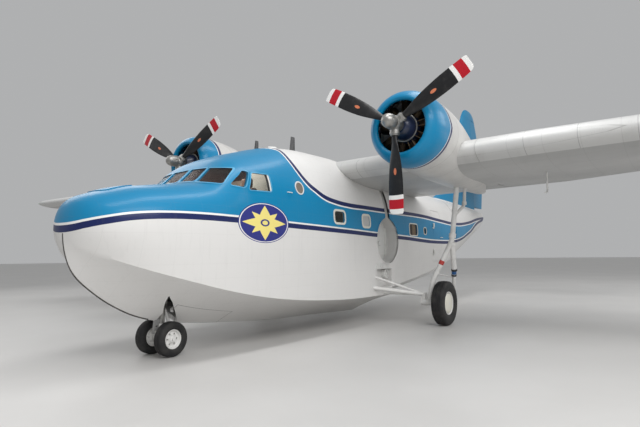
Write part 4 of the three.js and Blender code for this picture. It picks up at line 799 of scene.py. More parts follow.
# Small fittings on the crew cabin: a blanked round port with a light rim and a grab handle on each side, and
# the low white lid of the roof hatch behind the forward aerial.
PORT_X, PORT_Z, PORT_RADIUS, PORT_RIM = 4.031, 2.968, 0.135, 0.025
HANDLE_X, HANDLE_Z, HANDLE_ROOT, HANDLE_OUT = (3.63, 3.76), 2.845, 1.165, 1.22
ROOF_HATCH_X, ROOF_HATCH_HALF, ROOF_HATCH_RISE = (4.20, 4.47), 0.24, 0.04
port_brown = painted("port_brown", (0.13, 0.105, 0.085, 1), (0.20, 0.17, 0.14, 1), rough=0.35)
port_rims, port_discs, handles = [], [], []
lip_shell = shell(-0.008, 0.001)
for side in (-1, 1):
    def through(radius):
        return rod((PORT_X, side * 0.9, PORT_Z), (PORT_X, side * 1.5, PORT_Z), radius, sides=48)

    port_rims.append(cut(kept(lip_shell, through(PORT_RADIUS)), through(PORT_RADIUS - PORT_RIM)))
    port_discs.append(kept(shell(-0.003, 0.001), through(PORT_RADIUS - PORT_RIM)))
    root, out = side * HANDLE_ROOT, side * HANDLE_OUT
    grip = [(x, y, HANDLE_Z) for x, y in zip((HANDLE_X[0], *HANDLE_X, HANDLE_X[1]), (root, out, out, root))]
    handles.append(pipe(grip, 0.009, bend=0.02, sides=14))
show("port_rims", gathered(*port_rims), bar_white, "white_paint")
show("port_discs", gathered(*port_discs), port_brown, "white_paint")
show("cockpit_handles", gathered(*handles), bar_white, "white_paint")
hatch_outline = rectangle(ROOF_HATCH_X, (-ROOF_HATCH_HALF, ROOF_HATCH_HALF))
roof_hatch = kept(shell(-ROOF_HATCH_RISE, 0.001), drawn(hatch_outline, 3.5, 4.3, "z", rounding=0.05))
show("roof_hatch", roof_hatch, bar_white, "white_paint")

# Planing bottom: forebody back to the step, then the afterbody up to the tail bulkhead. The nose well is
# hollow behind its shut doors, which leave a notch round the strut. A shallow recess in each side takes the
# truss.
NOSE_ROOM = ((1.25, 2.95), (-0.46, 0.46), (0, 1.52))
NOTCH_MIDDLE = ((1.60, -0.19), (1.796, -0.26), (1.99, -0.06), (1.99, 0.06), (1.796, 0.26), (1.60, 0.19))
NOTCH_ARM = ((1.60, 0.19), (1.475, 0.406), (1.43, 0.564), (1.585, 0.454), (1.796, 0.26))
NOTCH_TOP = 1.25
RECESS_X, RECESS_INNER, RECESS_Z = (6.96, 7.73), 1.06, (0.85, 1.29)
fore_low = slice_of(outer_hull, (BOW_END, COCKPIT_END), (0, COCKPIT_FLOOR))
fore_aft = slice_of(outer_hull, (COCKPIT_END, STEP), (0, CABIN_FLOOR))
notches = [drawn(NOTCH_MIDDLE, 0, NOTCH_TOP, "z")]
notches += [drawn([(x, side * y) for x, y in NOTCH_ARM], 0, NOTCH_TOP, "z") for side in (-1, 1)]
recesses = [box_mesh(RECESS_X, outboard(side, RECESS_INNER, 1.4), RECESS_Z) for side in (-1, 1)]
nose_room = kept(hull_body(0.08), box_mesh(*NOSE_ROOM))
forebody = cut(gathered(fore_low, fore_aft), nose_room, *notches, *recesses)
stand_in("hull_forebody", forebody, hull_skin, "white_paint", angle=24)
afterbody = slice_of(outer_hull, (STEP, CABIN_END), (0, CABIN_FLOOR))
stand_in("hull_afterbody", afterbody, hull_skin, "white_paint")
tail_cone = slice_of(outer_hull, (CABIN_END, 19), (0, 5))
stand_in("tail_body", tail_cone, hull_skin, "white_paint")

# Main wheel wells: a round tub in each hull side with a slot above it for the leg, of plain pressed sheet.
# The mouth has a rolled white rim.
WELL_X, WELL_Z, WELL_RADIUS, WELL_DEPTH = 7.55, 1.99, 0.57, 0.33
SLOT_X, SLOT_HALF, SLOT_FOOT, SLOT_TOP = 7.57, 0.112, 2.58, 3.9
SIDE_Y, WELL_OUT = 1.25, 1.5


def well_block(side, by=0.0):
    y = outboard(side, SIDE_Y - WELL_DEPTH - by, WELL_OUT)
    round_part = rod((WELL_X, y[0], WELL_Z), (WELL_X, y[1], WELL_Z), WELL_RADIUS + by, sides=64)
    neck_half, neck_z = (WELL_RADIUS + by) * 0.9, WELL_Z + (WELL_RADIUS + by) * 0.4
    neck = (
        (WELL_X - neck_half, neck_z), (WELL_X + neck_half, neck_z),
        (SLOT_X + SLOT_HALF + by, SLOT_FOOT), (SLOT_X + SLOT_HALF + by, SLOT_TOP),
        (SLOT_X - SLOT_HALF - by, SLOT_TOP), (SLOT_X - SLOT_HALF - by, SLOT_FOOT),
    )
    return joined(round_part, drawn(neck, y[0], y[1], "y"))


WING_BAND = ((5.9, 9.85), SIDES, (3.25, 5))
well_finish = skin_finish("well_paint", clouded(2, (0.55, 0.55, 0.54, 1), (0.64, 0.63, 0.61, 1)))
for side, name in HANDS:
    tub = kept(cut(well_block(side, 0.03), well_block(side)), cut(outer_hull, box_mesh(*WING_BAND)))
    stand_in(f"wheel_well_{name}", tub, well_finish, "white_paint")
    rim = kept(lip_shell, cut(well_block(side, 0.035), well_block(side)))
    rim = kept(rim, box_mesh((6, 9), SIDES, (0, 3.4)))
    show(f"well_rim_{name}", rim, hull_skin, "white_paint")
    back = side * (SIDE_Y - WELL_DEPTH)
    dome = ((0, 0.53), (0.022, 0.50), (0.048, 0.38), (0.062, 0.22), (0.068, 0.0), (0, 0))
    dish = turned(
        [(side * along, radius) for along, radius in dome], (WELL_X, back, WELL_Z), "y", closed=True,
    )
    boss = collar(
        (WELL_X, back, WELL_Z - 0.06), (WELL_X, back + side * 0.11, WELL_Z - 0.06), 0.5, 0.07, 0.109,
    )
    ribs = [
        box_mesh((x - 0.012, x + 0.012), sorted((back, back + side * 0.09)), (1.64, 2.32))
        for x in (7.22, 7.88)
    ]
    show(f"well_back_{name}", gathered(dish, boss, *ribs), bar_white, "white_paint")

# Truss fittings: in the recess under each well a round cap covers the pivot, over light plates with round
# holes. The cap is cast, and the plates are pressed and riveted on.
CAP_X, CAP_Z, CAP_RADIUS = 7.59, 1.16, 0.115
for side, name in HANDS:
    inner = side * RECESS_INNER
    cap = collar((CAP_X, inner, CAP_Z), (CAP_X, inner + side * 0.11, CAP_Z), 0.5, CAP_RADIUS, 0.11)
    cap = cut(
        cap,
        rod(
            (CAP_X, inner + side * 0.07, CAP_Z), (CAP_X, inner + side * 0.2, CAP_Z), CAP_RADIUS * 0.72,
            sides=40,
        ),
    )
    nub = collar((CAP_X, inner + side * 0.06, CAP_Z), (CAP_X, inner + side * 0.10, CAP_Z), 0.5, 0.035, 0.04)
    holes = [rod((x, side * 1.0, 1.36), (x, side * 1.5, 1.36), 0.032, sides=32) for x in (7.02, 7.20, 7.38)]
    plate = cut(kept(lip_shell, drawn(((6.87, 1.295), (7.59, 1.295), (7.56, 1.44), (6.92, 1.44)),
                                      *outboard(side, 0.9, 1.5), rounding=0.02)), *holes)
    show(f"truss_fittings_{name}", gathered(cap, nub, plate), bar_white, "white_paint")

# Cabin walls, roof and door: riveted side panels with four small windows a side in cream frames. One is
# blanked with sheet and one has a stiff blind. Inside is a plain lining. The port wall has the boarding
# door aft.
CABIN_WINDOWS = (
    # x, z, width of the frame, what fills it
    ((5.17, 5.56), (2.345, 2.585), 0.046, "clear"),
    ((6.34, 6.65), (2.31, 2.55), 0.050, "blank"),
    ((8.84, 9.34), (2.17, 2.47), 0.028, "blind"),
    ((9.79, 9.97), (2.22, 2.40), 0.024, "clear"),
)
DOOR_X, DOOR_Z = (10.56, 11.34), (1.43, 2.96)
DOOR_GAP = 0.008
BLIND_TAN_MIDDLE, BLIND_TAN_HALF = 9.15, 0.10

wall_shell = cut(cut(outer_hull, inner_hull), well_block(-1), well_block(1))
roof = slice_of(wall_shell, (COCKPIT_END, CABIN_END), (ROOF_JOINT, 5))
stand_in("cabin_roof", roof, hull_skin, "white_paint")
cream = skin_finish("window_frame_cream", clouded(8, (0.62, 0.60, 0.52, 1), (0.72, 0.70, 0.62, 1)), seams=0.0)
blank_paint = skin_finish("blank_paint", clouded(4, (0.44, 0.44, 0.43, 1), (0.52, 0.52, 0.51, 1)), seams=0.0)
blind = Finish("window_blind")
blind_cloud = blind.noise(12, 4, (1, 1, 0.2))
blind_tan = blind.mix(blind_cloud, (0.30, 0.20, 0.11, 1), (0.42, 0.30, 0.18, 1))
blind_brown = blind.mix(blind_cloud, (0.045, 0.030, 0.022, 1), (0.08, 0.055, 0.04, 1))
blind_colour = blind.mix((blind.x - BLIND_TAN_MIDDLE).within(BLIND_TAN_HALF, 0.01), blind_brown, blind_tan)
blind_paint = blind.wear(blind_colour, blind_cloud * 0.1 + 0.6, blind_cloud)
frames, cabin_panes, blanks, blinds = [], [], [], []
lining = slice_of(
    shell(WALL + 0.0006, WALL + 0.008), (COCKPIT_END + 0.01, CABIN_END - 0.01), (CABIN_FLOOR + 0.01, 5),
)
lining = cut(lining, well_block(-1, 0.035), well_block(1, 0.035), box_mesh(*WING_BAND))
for side, name in HANDS:
    y = outboard(side, 0.4, 2)
    wall = slice_of(wall_shell, (COCKPIT_END, CABIN_END), (CABIN_FLOOR, ROOF_JOINT), y)
    for x, z, width, filling in CABIN_WINDOWS:
        hole = drawn(rectangle(x, z), *y, "y", rounding=0.06)
        wall = cut(wall, hole)
        lining = cut(lining, hole)
        wide = drawn(rectangle(x, z, width), *y, "y", rounding=0.06 + width)
        frames.append(cut(kept(lip_shell, wide), hole))
        (blanks if filling == "blank" else cabin_panes).append(
            kept(pane_shell, drawn(rectangle(x, z, 0.02), *y)),
        )
        if filling == "blind":
            blinds.append(kept(bar_shell, drawn(rectangle(x, z, 0.01), *y)))
    if side < 0:
        doorway = drawn(rectangle(DOOR_X, DOOR_Z, DOOR_GAP), *y, "y", rounding=0.06)
        leaf = kept(shell(0, WALL), drawn(rectangle(DOOR_X, DOOR_Z), *y, "y", rounding=0.055))
        wall = cut(wall, doorway)
        lining = cut(lining, drawn(rectangle(DOOR_X, DOOR_Z, 0.03), *y))
        leaf_lining = kept(
            shell(WALL + 0.0006, WALL + 0.007),
            drawn(rectangle(DOOR_X, DOOR_Z, -0.03), *y, "y", rounding=0.03),
        )
    stand_in(f"cabin_side_{name}", wall, hull_skin, "white_paint")
show("cabin_window_frames", gathered(*frames), cream, "white_paint")
show("cabin_panes", gathered(*cabin_panes), acrylic, "glass")
show("cabin_blanks", gathered(*blanks), blank_paint, "white_paint")
show(
    "cabin_blinds", gathered(*[kept(shell(0.020, 0.026), piece) for piece in blinds]), blind_paint,
    "white_paint",
)
cabin_cream = painted(
    "cabin_lining", (0.40, 0.38, 0.32, 1), (0.48, 0.46, 0.39, 1), rough=0.5, coat=0.0, scale=2,
)
show("cabin_lining", lining, cabin_cream, "interior_paint")
stand_in("cabin_door", leaf, hull_skin, "white_paint", body="door")
show("door_lining", leaf_lining, cabin_cream, "interior_paint", body="door")

# Door hardware: two hinge barrels outside its forward edge, each on a foot of the wall, and a turned handle
# aft. All are steel, painted white.
HINGE_X, HINGE_Y, HINGE_HALF, HINGE_HEIGHTS = 10.556, -1.222, 0.05, (1.70, 2.50)
feet, barrels = [], []
for z in HINGE_HEIGHTS:
    feet += [
        rod((HINGE_X, HINGE_Y, z - HINGE_HALF - 0.045), (HINGE_X, HINGE_Y, z + HINGE_HALF), 0.009),
        box_mesh(
            (HINGE_X - 0.06, HINGE_X + 0.008), (HINGE_Y - 0.012, HINGE_Y + 0.05), (z - 0.095, z - 0.055),
        ),
    ]
    barrels += [
        collar(
            (HINGE_X, HINGE_Y, z - HINGE_HALF), (HINGE_X, HINGE_Y, z + HINGE_HALF + 0.02), 0.5, 0.022, 0.12,
        ),
        box_mesh(
            (HINGE_X + 0.002, HINGE_X + 0.07), (HINGE_Y, HINGE_Y + 0.06),
            (z - HINGE_HALF, z + HINGE_HALF + 0.02),
        ),
    ]
show("door_hinge_feet", gathered(*feet), bar_white, "white_paint")
door_grip = pipe(
    ((11.16, -1.16, 2.15), (11.16, -1.215, 2.15), (11.27, -1.215, 2.15), (11.27, -1.195, 2.15)), 0.010,
    bend=0.02,
)
show("door_hinge_barrels", gathered(*barrels, door_grip), bar_white, "white_paint", body="door")

# Wing: one riveted box spar wing in three parts, painted satin grey, with its nose in lighter replaceable
# panels. Flaps and ailerons turn in round coves along its trailing edge.
WING_NOSE_X, WING_CHORD, TIP_CHORD = 5.9, 3.95, 1.85
TAPER_Y, HALF_SPAN, TIP_START = 5.1, 14.73, 14.23
WING_NOSE_Z, DIHEDRAL, INCIDENCE = 3.62, math.tan(math.radians(1.2)), math.tan(math.radians(4.6))
THICKNESS, CAMBER, HINGE_SHARE, NOSE_SHARE = 0.17, 0.02, 0.76, 0.97
AEROFOIL_TERMS = (0.2969, -0.126, -0.3516, 0.2843, -0.1015)
SEAT = 0.0004


def wing_at(y):
    t = max(0, (abs(y) - TAPER_Y) / (HALF_SPAN - TAPER_Y))
    chord = WING_CHORD + (TIP_CHORD - WING_CHORD) * t
    return WING_NOSE_X + 0.25 * (WING_CHORD - chord), chord, WING_NOSE_Z + DIHEDRAL * abs(y)


def half_thickness(f):
    root, first, second, third, fourth = AEROFOIL_TERMS
    return 5 * THICKNESS * (root * math.sqrt(f) + f * (first + f * (second + f * (third + f * fourth))))


def wing_ring(y, scale=1.0, shrink=1.0, count=26):
    """Wing section points from the tail over the top and back below."""
    x, chord, z = wing_at(y)
    points = []
    for i in range(2 * count):
        f = (1 + math.cos(math.pi * i / count)) / 2
        middle = 4 * CAMBER * f * (1 - f)
        side = 1 if i <= count else -1
        height = middle + side * half_thickness(f) * scale
        place = 0.30 + (f - 0.30) * shrink
        points.append(Vector((x + place * chord, y, z + (height - INCIDENCE * place) * chord)))
    return points


def hinge_at(y):
    x, chord, z = wing_at(y)
    middle = 4 * CAMBER * HINGE_SHARE * (1 - HINGE_SHARE)
    axis = Vector((x + HINGE_SHARE * chord, y, z + (middle - INCIDENCE * HINGE_SHARE) * chord))
    tail = Vector((x + chord, y, z - INCIDENCE * chord))
    return axis, half_thickness(HINGE_SHARE) * chord * NOSE_SHARE, tail, 0.0018 * chord


def flap_ring(axis, nose, tail, tail_half, across):
    """A hinged surface's section: a round nose on the axis, and flat sides back to the tail."""
    points = [tail + across * tail_half]
    for step in range(21):
        t = math.radians(-10 + 200 * step / 20)
        points.append(axis + across * (nose * math.cos(t)) + FORWARD * (nose * math.sin(t)))
    points.append(tail - across * tail_half)
    return points


def cove_ring(axis, nose, tail, gap, across):
    reach = nose + gap
    aft = Vector((tail.x + 0.3, axis.y, axis.z))
    points = [aft + across * reach * 2]
    for step in range(19):
        t = math.pi * step / 18
        points.append(axis + across * (reach * math.cos(t)) + FORWARD * (reach * math.sin(t)))
    points.append(aft - across * reach * 2)
    return points


def hinged_ring(axis, nose, tail, gap, across):
    """The section of a hinged surface, or with a gap that of the cove it turns in."""
    if gap is None:
        return flap_ring(axis, nose, tail, 0.006, across)
    return cove_ring(axis, nose, tail, gap, across)


UP, FORWARD = Vector((0, 0, 1)), Vector((-1, 0, 0))
SURFACES = (
    # name, inner and outer ends, gap in the cove
    ("flap_inner", 1.42, 2.38, 0.020),
    ("flap_outer", 3.64, 5.04, 0.020),
    ("aileron", 8.20, 14.05, 0.008),
)
END_GAP = 0.012


def wing_look(paint):
    cloud = paint.noise(0.7, 4, (1, 0.4, 1))
    grey = paint.mix(cloud.rise(0.3, 0.75), (0.40, 0.40, 0.395, 1), (0.49, 0.49, 0.48, 1))
    nose_line = abs(paint.y).most(TAPER_Y) - TAPER_Y
    edge = nose_line * 0.0545 + (WING_NOSE_X + 0.30)
    seams = paint.y.apart(0.9)
    bright = paint.mix(seams.rise(0.002, 0.006), (0.30, 0.30, 0.30, 1), (0.60, 0.60, 0.59, 1))
    return paint.mix((paint.x - edge).rise(-0.004, 0.004), bright, grey)


def span_finish(name, colouring, pitch=0.62, rough=0.33):
    """Satin paint on ribs and spars: seams and rivet rows across the chord and along the span."""
    paint = Finish(name, Coat_Weight=0.25, Coat_Roughness=0.2, Metallic=0.15)
    colour = colouring(paint)
    cloud = paint.noise(1.1, 4)
    widths = ((0.0008, 0.003), (0.0008, 0.003))
    seam, rivets = plating(paint.y, pitch, paint.x, SPAR_PITCH, widths, 0.016, 0.005)
    grime = paint.noise(2.2, 5, (0.3, 1, 1))
    dirt = (1 - seam) * 0.4 + rivets * 0.12 + grime.rise(0.5, 0.8) * 0.12
    worn = paint.mix(dirt, colour, (0.12, 0.115, 0.11, 1))
    return paint.wear(worn, cloud * 0.2 + rough, seam * 0.5 + rivets * 0.5 + cloud, 0.0012)


wing_paint = span_finish("wing_paint", wing_look)
center = lofted([wing_ring(y) for y in (-TAPER_Y, -2.5, 0, 2.5, TAPER_Y)])
outers = {}
for side, name in HANDS:
    tip = [
        (TIP_START + (HALF_SPAN - TIP_START) * math.sin(t), math.cos(t))
        for t in stations(0, math.radians(84), 8)
    ]
    rings = [wing_ring(side * (TAPER_Y + SEAT)), wing_ring(side * 9.6)]
    rings += [wing_ring(side * y, scale, 0.72 + 0.28 * scale) for y, scale in tip]
    outers[name] = lofted(rings)
    for surface, inner, outer, gap in SURFACES:
        ends = (side * inner, side * outer)
        cove_ends = (side * (inner - END_GAP), side * (outer + END_GAP))
        cove = lofted([cove_ring(*hinge_at(y)[:3], gap, UP) for y in cove_ends])
        if inner < TAPER_Y:
            center = cut(center, cove)
        else:
            outers[name] = cut(outers[name], cove)
        panel = lofted([flap_ring(*hinge_at(y), UP) for y in ends])
        stand_in(f"{surface}_{name}", panel, wing_paint, "silver_paint", body=f"{surface}_{name}")
    stand_in(f"wing_outer_{name}", outers[name], wing_paint, "silver_paint", angle=30)
stand_in("wing_center", center, wing_paint, "silver_paint", angle=30)

# Nacelles: beaten sheet fairings that take each engine back under and over the wing.
# Each cowl is a spun ring with a rounded mouth; its blue ends in a white and a navy line.
ENGINE_Y, THRUST_Z, COWL_AFT = 3.05, 4.05, 5.42
ARC_PITCH = 0.68
NACELLE_ROWS = (
    # x, top, bottom, half width, squareness
    (5.40, 4.785, 3.315, 0.735, 2.0), (5.9, 4.72, 3.265, 0.735, 2.1), (6.6, 4.50, 3.235, 0.70, 2.2),
    (7.3, 4.18, 3.215, 0.62, 2.2), (7.9, 3.80, 3.205, 0.52, 2.2), (8.6, 3.56, 3.195, 0.37, 2.1),
    (9.3, 3.30, 3.185, 0.15, 2.0),
)
COWL_PROFILE = (
    # distance aft of the cowl's tail, radius
    (0, 0.735), (-0.20, 0.741), (-0.42, 0.736), (-0.58, 0.700), (-0.68, 0.640), (-0.73, 0.575),
    (-0.728, 0.525), (-0.69, 0.497), (-0.62, 0.515), (-0.55, 0.60), (-0.38, 0.69), (-0.2, 0.715), (0, 0.722),
)


def rounded_ring(x, y, top, bottom, half, square, count=64):
    points = []
    for i in range(count):
        t = math.tau * i / count
        across = math.copysign(abs(math.cos(t)) ** (2 / square), math.cos(t))
        over = math.copysign(abs(math.sin(t)) ** (2 / square), math.sin(t))
        points.append(Vector((x, y + half * across, (top + bottom) / 2 + (top - bottom) / 2 * over)))
    return points


def cowl_look(paint):
    """Blue forward of a line that comes to a shallow point on the outboard side."""
    out = abs(paint.y) - ENGINE_Y
    over = paint.z - THRUST_Z
    radius = (out * out + over * over).most(0.01) ** 0.5
    outboard = (out / radius).rise(-0.1, 0.25)
    edge = (1 - abs(over) / radius).most(0) * outboard * 0.20 + (COWL_AFT - 0.25)
    inside = edge - paint.x
    cloud = paint.noise(1.6)
    grey = paint.mix(cloud.rise(0.3, 0.7), (0.50, 0.49, 0.475, 1), (0.58, 0.57, 0.55, 1))
    arcs = (paint.x + over * over * 0.45).apart(ARC_PITCH)
    grey = paint.mix((1 - arcs.rise(0.002, 0.007)) * 0.45, grey, (0.12, 0.11, 0.10, 1))
    line = paint.mix(inside.rise(-0.102, -0.098), grey, NAVY)
    line = paint.mix(inside.rise(-0.022, -0.018), line, LINE_WHITE)
    return paint.mix(inside.rise(0.001, 0.005), line, SKY_BLUE)


cowl_paint = skin_finish("cowl_paint", cowl_look, coat=0.25, rough=0.26)
nacelles = {}
for side, name in HANDS:
    y = side * ENGINE_Y
    rings = [rounded_ring(x, y, *faired(NACELLE_ROWS, x)) for x in stations(5.40, 9.3, 30)]
    nacelles[name] = lofted(rings)
    stand_in(f"nacelle_{name}", nacelles[name], cowl_paint, "silver_paint")
    ring = turned(smooth_line(COWL_PROFILE), (COWL_AFT, y, THRUST_Z), closed=True)
    stand_in(f"cowl_{name}", ring, cowl_paint, "blue_paint", angle=50)

# Engine: nine air cooled cylinders round a cast crankcase. Each cylinder has turned cooling fins, a head
# with two rocker boxes, and two push rod tubes down to the nose case.
CYLINDERS, ROW_X = 9, 5.06
CASE_PROFILE = (
    (5.40, 0.0), (5.40, 0.36), (5.22, 0.36), (5.20, 0.30), (5.16, 0.285), (4.95, 0.285), (4.93, 0.27),
    (4.90, 0.25), (4.86, 0.245), (4.80, 0.225), (4.74, 0.19), (4.69, 0.15), (4.66, 0.125), (4.64, 0.12),
    (4.64, 0.0),
)
FINS, FIN_FOOT, FIN_PITCH = 22, 0.265, 0.0125
ROCKER_X, ROCKER_Z, ROCKER_Y, ROCKER_HALF = (-0.1075, -0.0025), (0.57, 0.63), 0.062, 0.0275


def cylinder_mesh():
    """One finned cylinder standing on the origin along +Z."""
    profile = [(0.22, 0.0), (0.22, 0.088)]
    for i in range(FINS):
        z = FIN_FOOT + i * FIN_PITCH
        reach = 0.098 if i < 12 else 0.112
        profile += [(z, 0.080), (z, reach), (z + 0.0045, reach), (z + 0.0045, 0.080)]
    top = FIN_FOOT + FINS * FIN_PITCH
    profile += [(top, 0.085), (top + 0.03, 0.08), (top + 0.055, 0.05), (top + 0.06, 0.0)]
    return turned(profile, (0, 0, 0), "z", steps=28)


metal = Finish("engine_metal", Metallic=0.85)
age = metal.noise(6, 5)
bronze = metal.mix(age.rise(0.35, 0.7), (0.030, 0.022, 0.016, 1), (0.16, 0.115, 0.07, 1))
engine_metal = metal.wear(bronze, age * 0.25 + 0.28, metal.noise(50), 0.0006)
case = Finish("engine_case", Coat_Weight=0.4)
case_age = case.noise(5)
case_colour = case.mix(case_age.rise(0.3, 0.7), (0.008, 0.012, 0.030, 1), (0.020, 0.028, 0.065, 1))
engine_case = case.wear(case_colour, case_age * 0.2 + 0.22, case.noise(40), 0.0005)
steel = Finish("bright_steel", Metallic=0.9)
rub = steel.noise(12, 4, (1, 1, 5))
bright_steel = steel.wear(
    steel.mix(rub, (0.28, 0.275, 0.26, 1), (0.46, 0.45, 0.43, 1)), rub * 0.2 + 0.32, steel.noise(90), 0.0004,
)
for side, name in HANDS:
    y = side * ENGINE_Y
    hub = Matrix.Translation((0, y, THRUST_Z))
    crankcase = turned(CASE_PROFILE, (0, y, THRUST_Z))
    barrels, rockers, tubes = [], [], []
    for i in range(CYLINDERS):
        turn = hub @ Matrix.Rotation(math.tau * i / CYLINDERS, 4, "X")
        at_row = turn @ Matrix.Translation((ROW_X, 0, 0))
        barrel = cylinder_mesh()
        barrel.transform(at_row)
        barrels.append(barrel)
        for lean in (-1, 1):
            out = lean * ROCKER_Y
            cover = box_mesh(ROCKER_X, (out - ROCKER_HALF, out + ROCKER_HALF), ROCKER_Z, 0.014, segments=3)
            cover.transform(at_row)
            rockers.append(cover)
            rod_mesh = rod(
                (ROW_X - 0.15, lean * 0.045, 0.235), (ROW_X - 0.10, lean * 0.062, 0.60), 0.011, sides=12,
            )
            rod_mesh.transform(turn)
            tubes.append(rod_mesh)
    harness = turned(torus(4.885, 0.262, 0.016), (0, y, THRUST_Z), closed=True)
    show(f"engine_case_{name}", crankcase, engine_case, "engine_metal", nodes=[f"engine_{name}"], angle=40)
    show(f"engine_barrels_{name}", gathered(*barrels), engine_metal, "engine_metal", angle=40)
    show(f"engine_rockers_{name}", gathered(*rockers), engine_case, "engine_metal")
    show(f"engine_rods_{name}", gathered(*tubes), engine_metal, "engine_metal")
    show(f"engine_harness_{name}", harness, bright_steel, "engine_metal")

# Propellers: three black forged blades on a steel hub with a polished dome. The tips carry white and red
# bands. Each blade is clamped in a cuff of the hub.
PROP_X, PROP_RADIUS = 4.48, 1.676
BLADE_ROWS = (
    # radius, chord, thickness, pitch in degrees, how far the middle is set back
    (0.20, 0.118, 0.118, -40, 0), (0.30, 0.130, 0.105, -34, 0), (0.48, 0.200, 0.066, -24, 0),
    (0.80, 0.285, 0.044, -13, 0), (1.15, 0.320, 0.030, -9, 0), (1.50, 0.310, 0.018, -6, 0),
    (1.62, 0.290, 0.013, -5, 0.004), (1.66, 0.250, 0.011, -5, 0.016), (1.676, 0.200, 0.008, -5, 0.026),
)
HUB_PROFILE = (
    (4.6355, 0.0), (4.6355, 0.105), (4.62, 0.125), (4.58, 0.14), (4.40, 0.14), (4.385, 0.118), (4.375, 0.118),
    (4.365, 0.134), (4.31, 0.136), (4.22, 0.130), (4.16, 0.108), (4.12, 0.066), (4.107, 0.03), (4.106, 0.0),
)


def blade_mesh():
    rings = []
    for radius in [0.20 + (PROP_RADIUS - 0.20) * math.sin(t) for t in stations(0, math.pi / 2, 34)]:
        chord, thick, pitch, back = faired(BLADE_ROWS, radius)
        twist = math.radians(pitch)
        points = []
        for i in range(28):
            t = math.tau * i / 28
            flat = max(0.0, (radius - 0.3) / 0.4)
            body = math.sin(t) * (1 - 0.30 * min(1, flat) * math.cos(t))
            along, across = math.cos(t) * chord / 2 + back, body * thick / 2
            points.append(Vector((
                along * math.sin(twist) + across * math.cos(twist),
                along * math.cos(twist) - across * math.sin(twist), radius,
            )))
        rings.append(points)
    return lofted(rings)


MARK_RADIUS, MARK_HALF_LENGTH, MARK_HALF_WIDTH = 0.90, 0.065, 0.03


def blade_look(paint):
    """Black, with banded tips and a small worn orange oval on each blade's front."""
    out = abs(paint.y) - ENGINE_Y
    over = paint.z - THRUST_Z
    radius = (out * out + over * over) ** 0.5
    scuff = paint.noise(8, 5)
    black = paint.mix(scuff.rise(0.45, 0.8), (0.006, 0.006, 0.007, 1), (0.020, 0.019, 0.019, 1))
    turn = paint.node("ShaderNodeMath", {"operation": "ARCTAN2"}, (out, 0 - over))
    folded = (turn / (math.tau / 3) + 6.5) % 1.0 - 0.5
    sideways = folded * (math.tau / 3) * radius / MARK_HALF_WIDTH
    along = (radius - MARK_RADIUS) / MARK_HALF_LENGTH
    spot = (sideways * sideways + along * along) ** 0.5
    orange = paint.mix(scuff, (0.50, 0.10, 0.04, 1), (0.66, 0.24, 0.12, 1))
    marked = paint.mix((1 - spot.rise(0.9, 1.05)) * (paint.x < PROP_X), black, orange)
    white = paint.mix(radius.rise(1.333, 1.337), marked, (0.78, 0.77, 0.75, 1))
    red = paint.mix(radius.rise(1.412, 1.416), white, (0.42, 0.002, 0.012, 1))
    return paint.mix(radius.rise(1.585, 1.589), red, (0.78, 0.77, 0.75, 1))


prop = Finish("propeller_paint", Coat_Weight=0.2, Coat_Roughness=0.2, Specular_IOR_Level=0.35)
prop_rough = prop.noise(14)
prop_paint = prop.wear(blade_look(prop), prop_rough * 0.2 + 0.38, prop.noise(30), 0.0005)
for side, name in HANDS:
    y = side * ENGINE_Y
    blades, cuffs = [], []
    for degrees in (60, 180, 300):
        place = Matrix.Translation((PROP_X, y, THRUST_Z)) @ Matrix.Rotation(math.radians(degrees), 4, "X")
        blade = blade_mesh()
        blade.transform(place)
        blades.append(blade)
        cuff = turned(
            ((0.06, 0.0), (0.06, 0.088), (0.17, 0.088), (0.175, 0.096), (0.20, 0.096), (0.205, 0.084), (
                0.232, 0.080,
            ),
             (0.235, 0.0)), (0, 0, 0), "z", steps=48,
        )
        cuff.transform(place)
        cuffs.append(cuff)
    show(
        f"propeller_blades_{name}", gathered(*blades), prop_paint, "propeller_black",
        body=f"propeller_{name}", nodes=[f"propeller_{name}"], angle=50,
    )
    dome = turned(smooth_line(HUB_PROFILE, 2), (0, y, THRUST_Z))
    show(
        f"propeller_hub_{name}", gathered(dome, *cuffs), bright_steel, "engine_metal",
        body=f"propeller_{name}", angle=40,
    )

# Tail: a fin and rudder, and a tailplane with elevators, of sheet over ribs. The fin is blue above a white
# and a navy line at its foot.
FIN_ROWS = (
    # z, leading edge, rudder tail
    (3.3, 13.0, 18.9), (3.64, 13.35, 19.02), (4.3, 14.95, 19.15), (5.3, 15.54, 19.09), (6.97, 16.48, 18.64),
    (7.47, 16.76, 18.40),
)
FIN_TIP_ROWS = (
    # z, leading edge, tail, half width
    (7.478, 16.765, 18.39, 0.088), (7.58, 16.85, 18.33, 0.081), (7.70, 16.96, 18.23, 0.068),
    (7.78, 17.08, 18.12, 0.052), (7.83, 17.20, 18.00, 0.036), (7.86, 17.34, 17.88, 0.02),
    (7.868, 17.45, 17.78, 0.008),
)
RUDDER_HINGE, RUDDER_FOOT, RUDDER_TOP = 17.62, 3.64, 7.47
TAILPLANE_Z, TAIL_HALF_SPAN, ELEVATOR_HINGE = 4.55, 4.725, 17.35
TAILPLANE_ROOT, TAILPLANE_END = (15.75, 18.56, 0.14), (16.56, 18.18, 0.068)
ELEVATOR_INNER, ELEVATOR_OUTER, ELEVATOR_TAIL_INNER = 0.33, 4.48, 1.1
FIN_SHAPE = (
    # share of the length, share of the half width
    (0, 0), (0.004, 0.14), (0.02, 0.28), (0.06, 0.45), (0.12, 0.60), (0.2, 0.74), (0.32, 0.88), (0.45, 0.96),
    (0.6, 1.01), (0.75, 1.02), (0.9, 1.01), (1.0, 1.0),
)
TIP_SHAPE = (
    (0, 0), (0.01, 0.22), (0.06, 0.5), (0.12, 0.70), (0.2, 0.85), (0.4, 1.0), (0.7, 0.75), (0.9, 0.35),
    (1.0, 0.1),
)


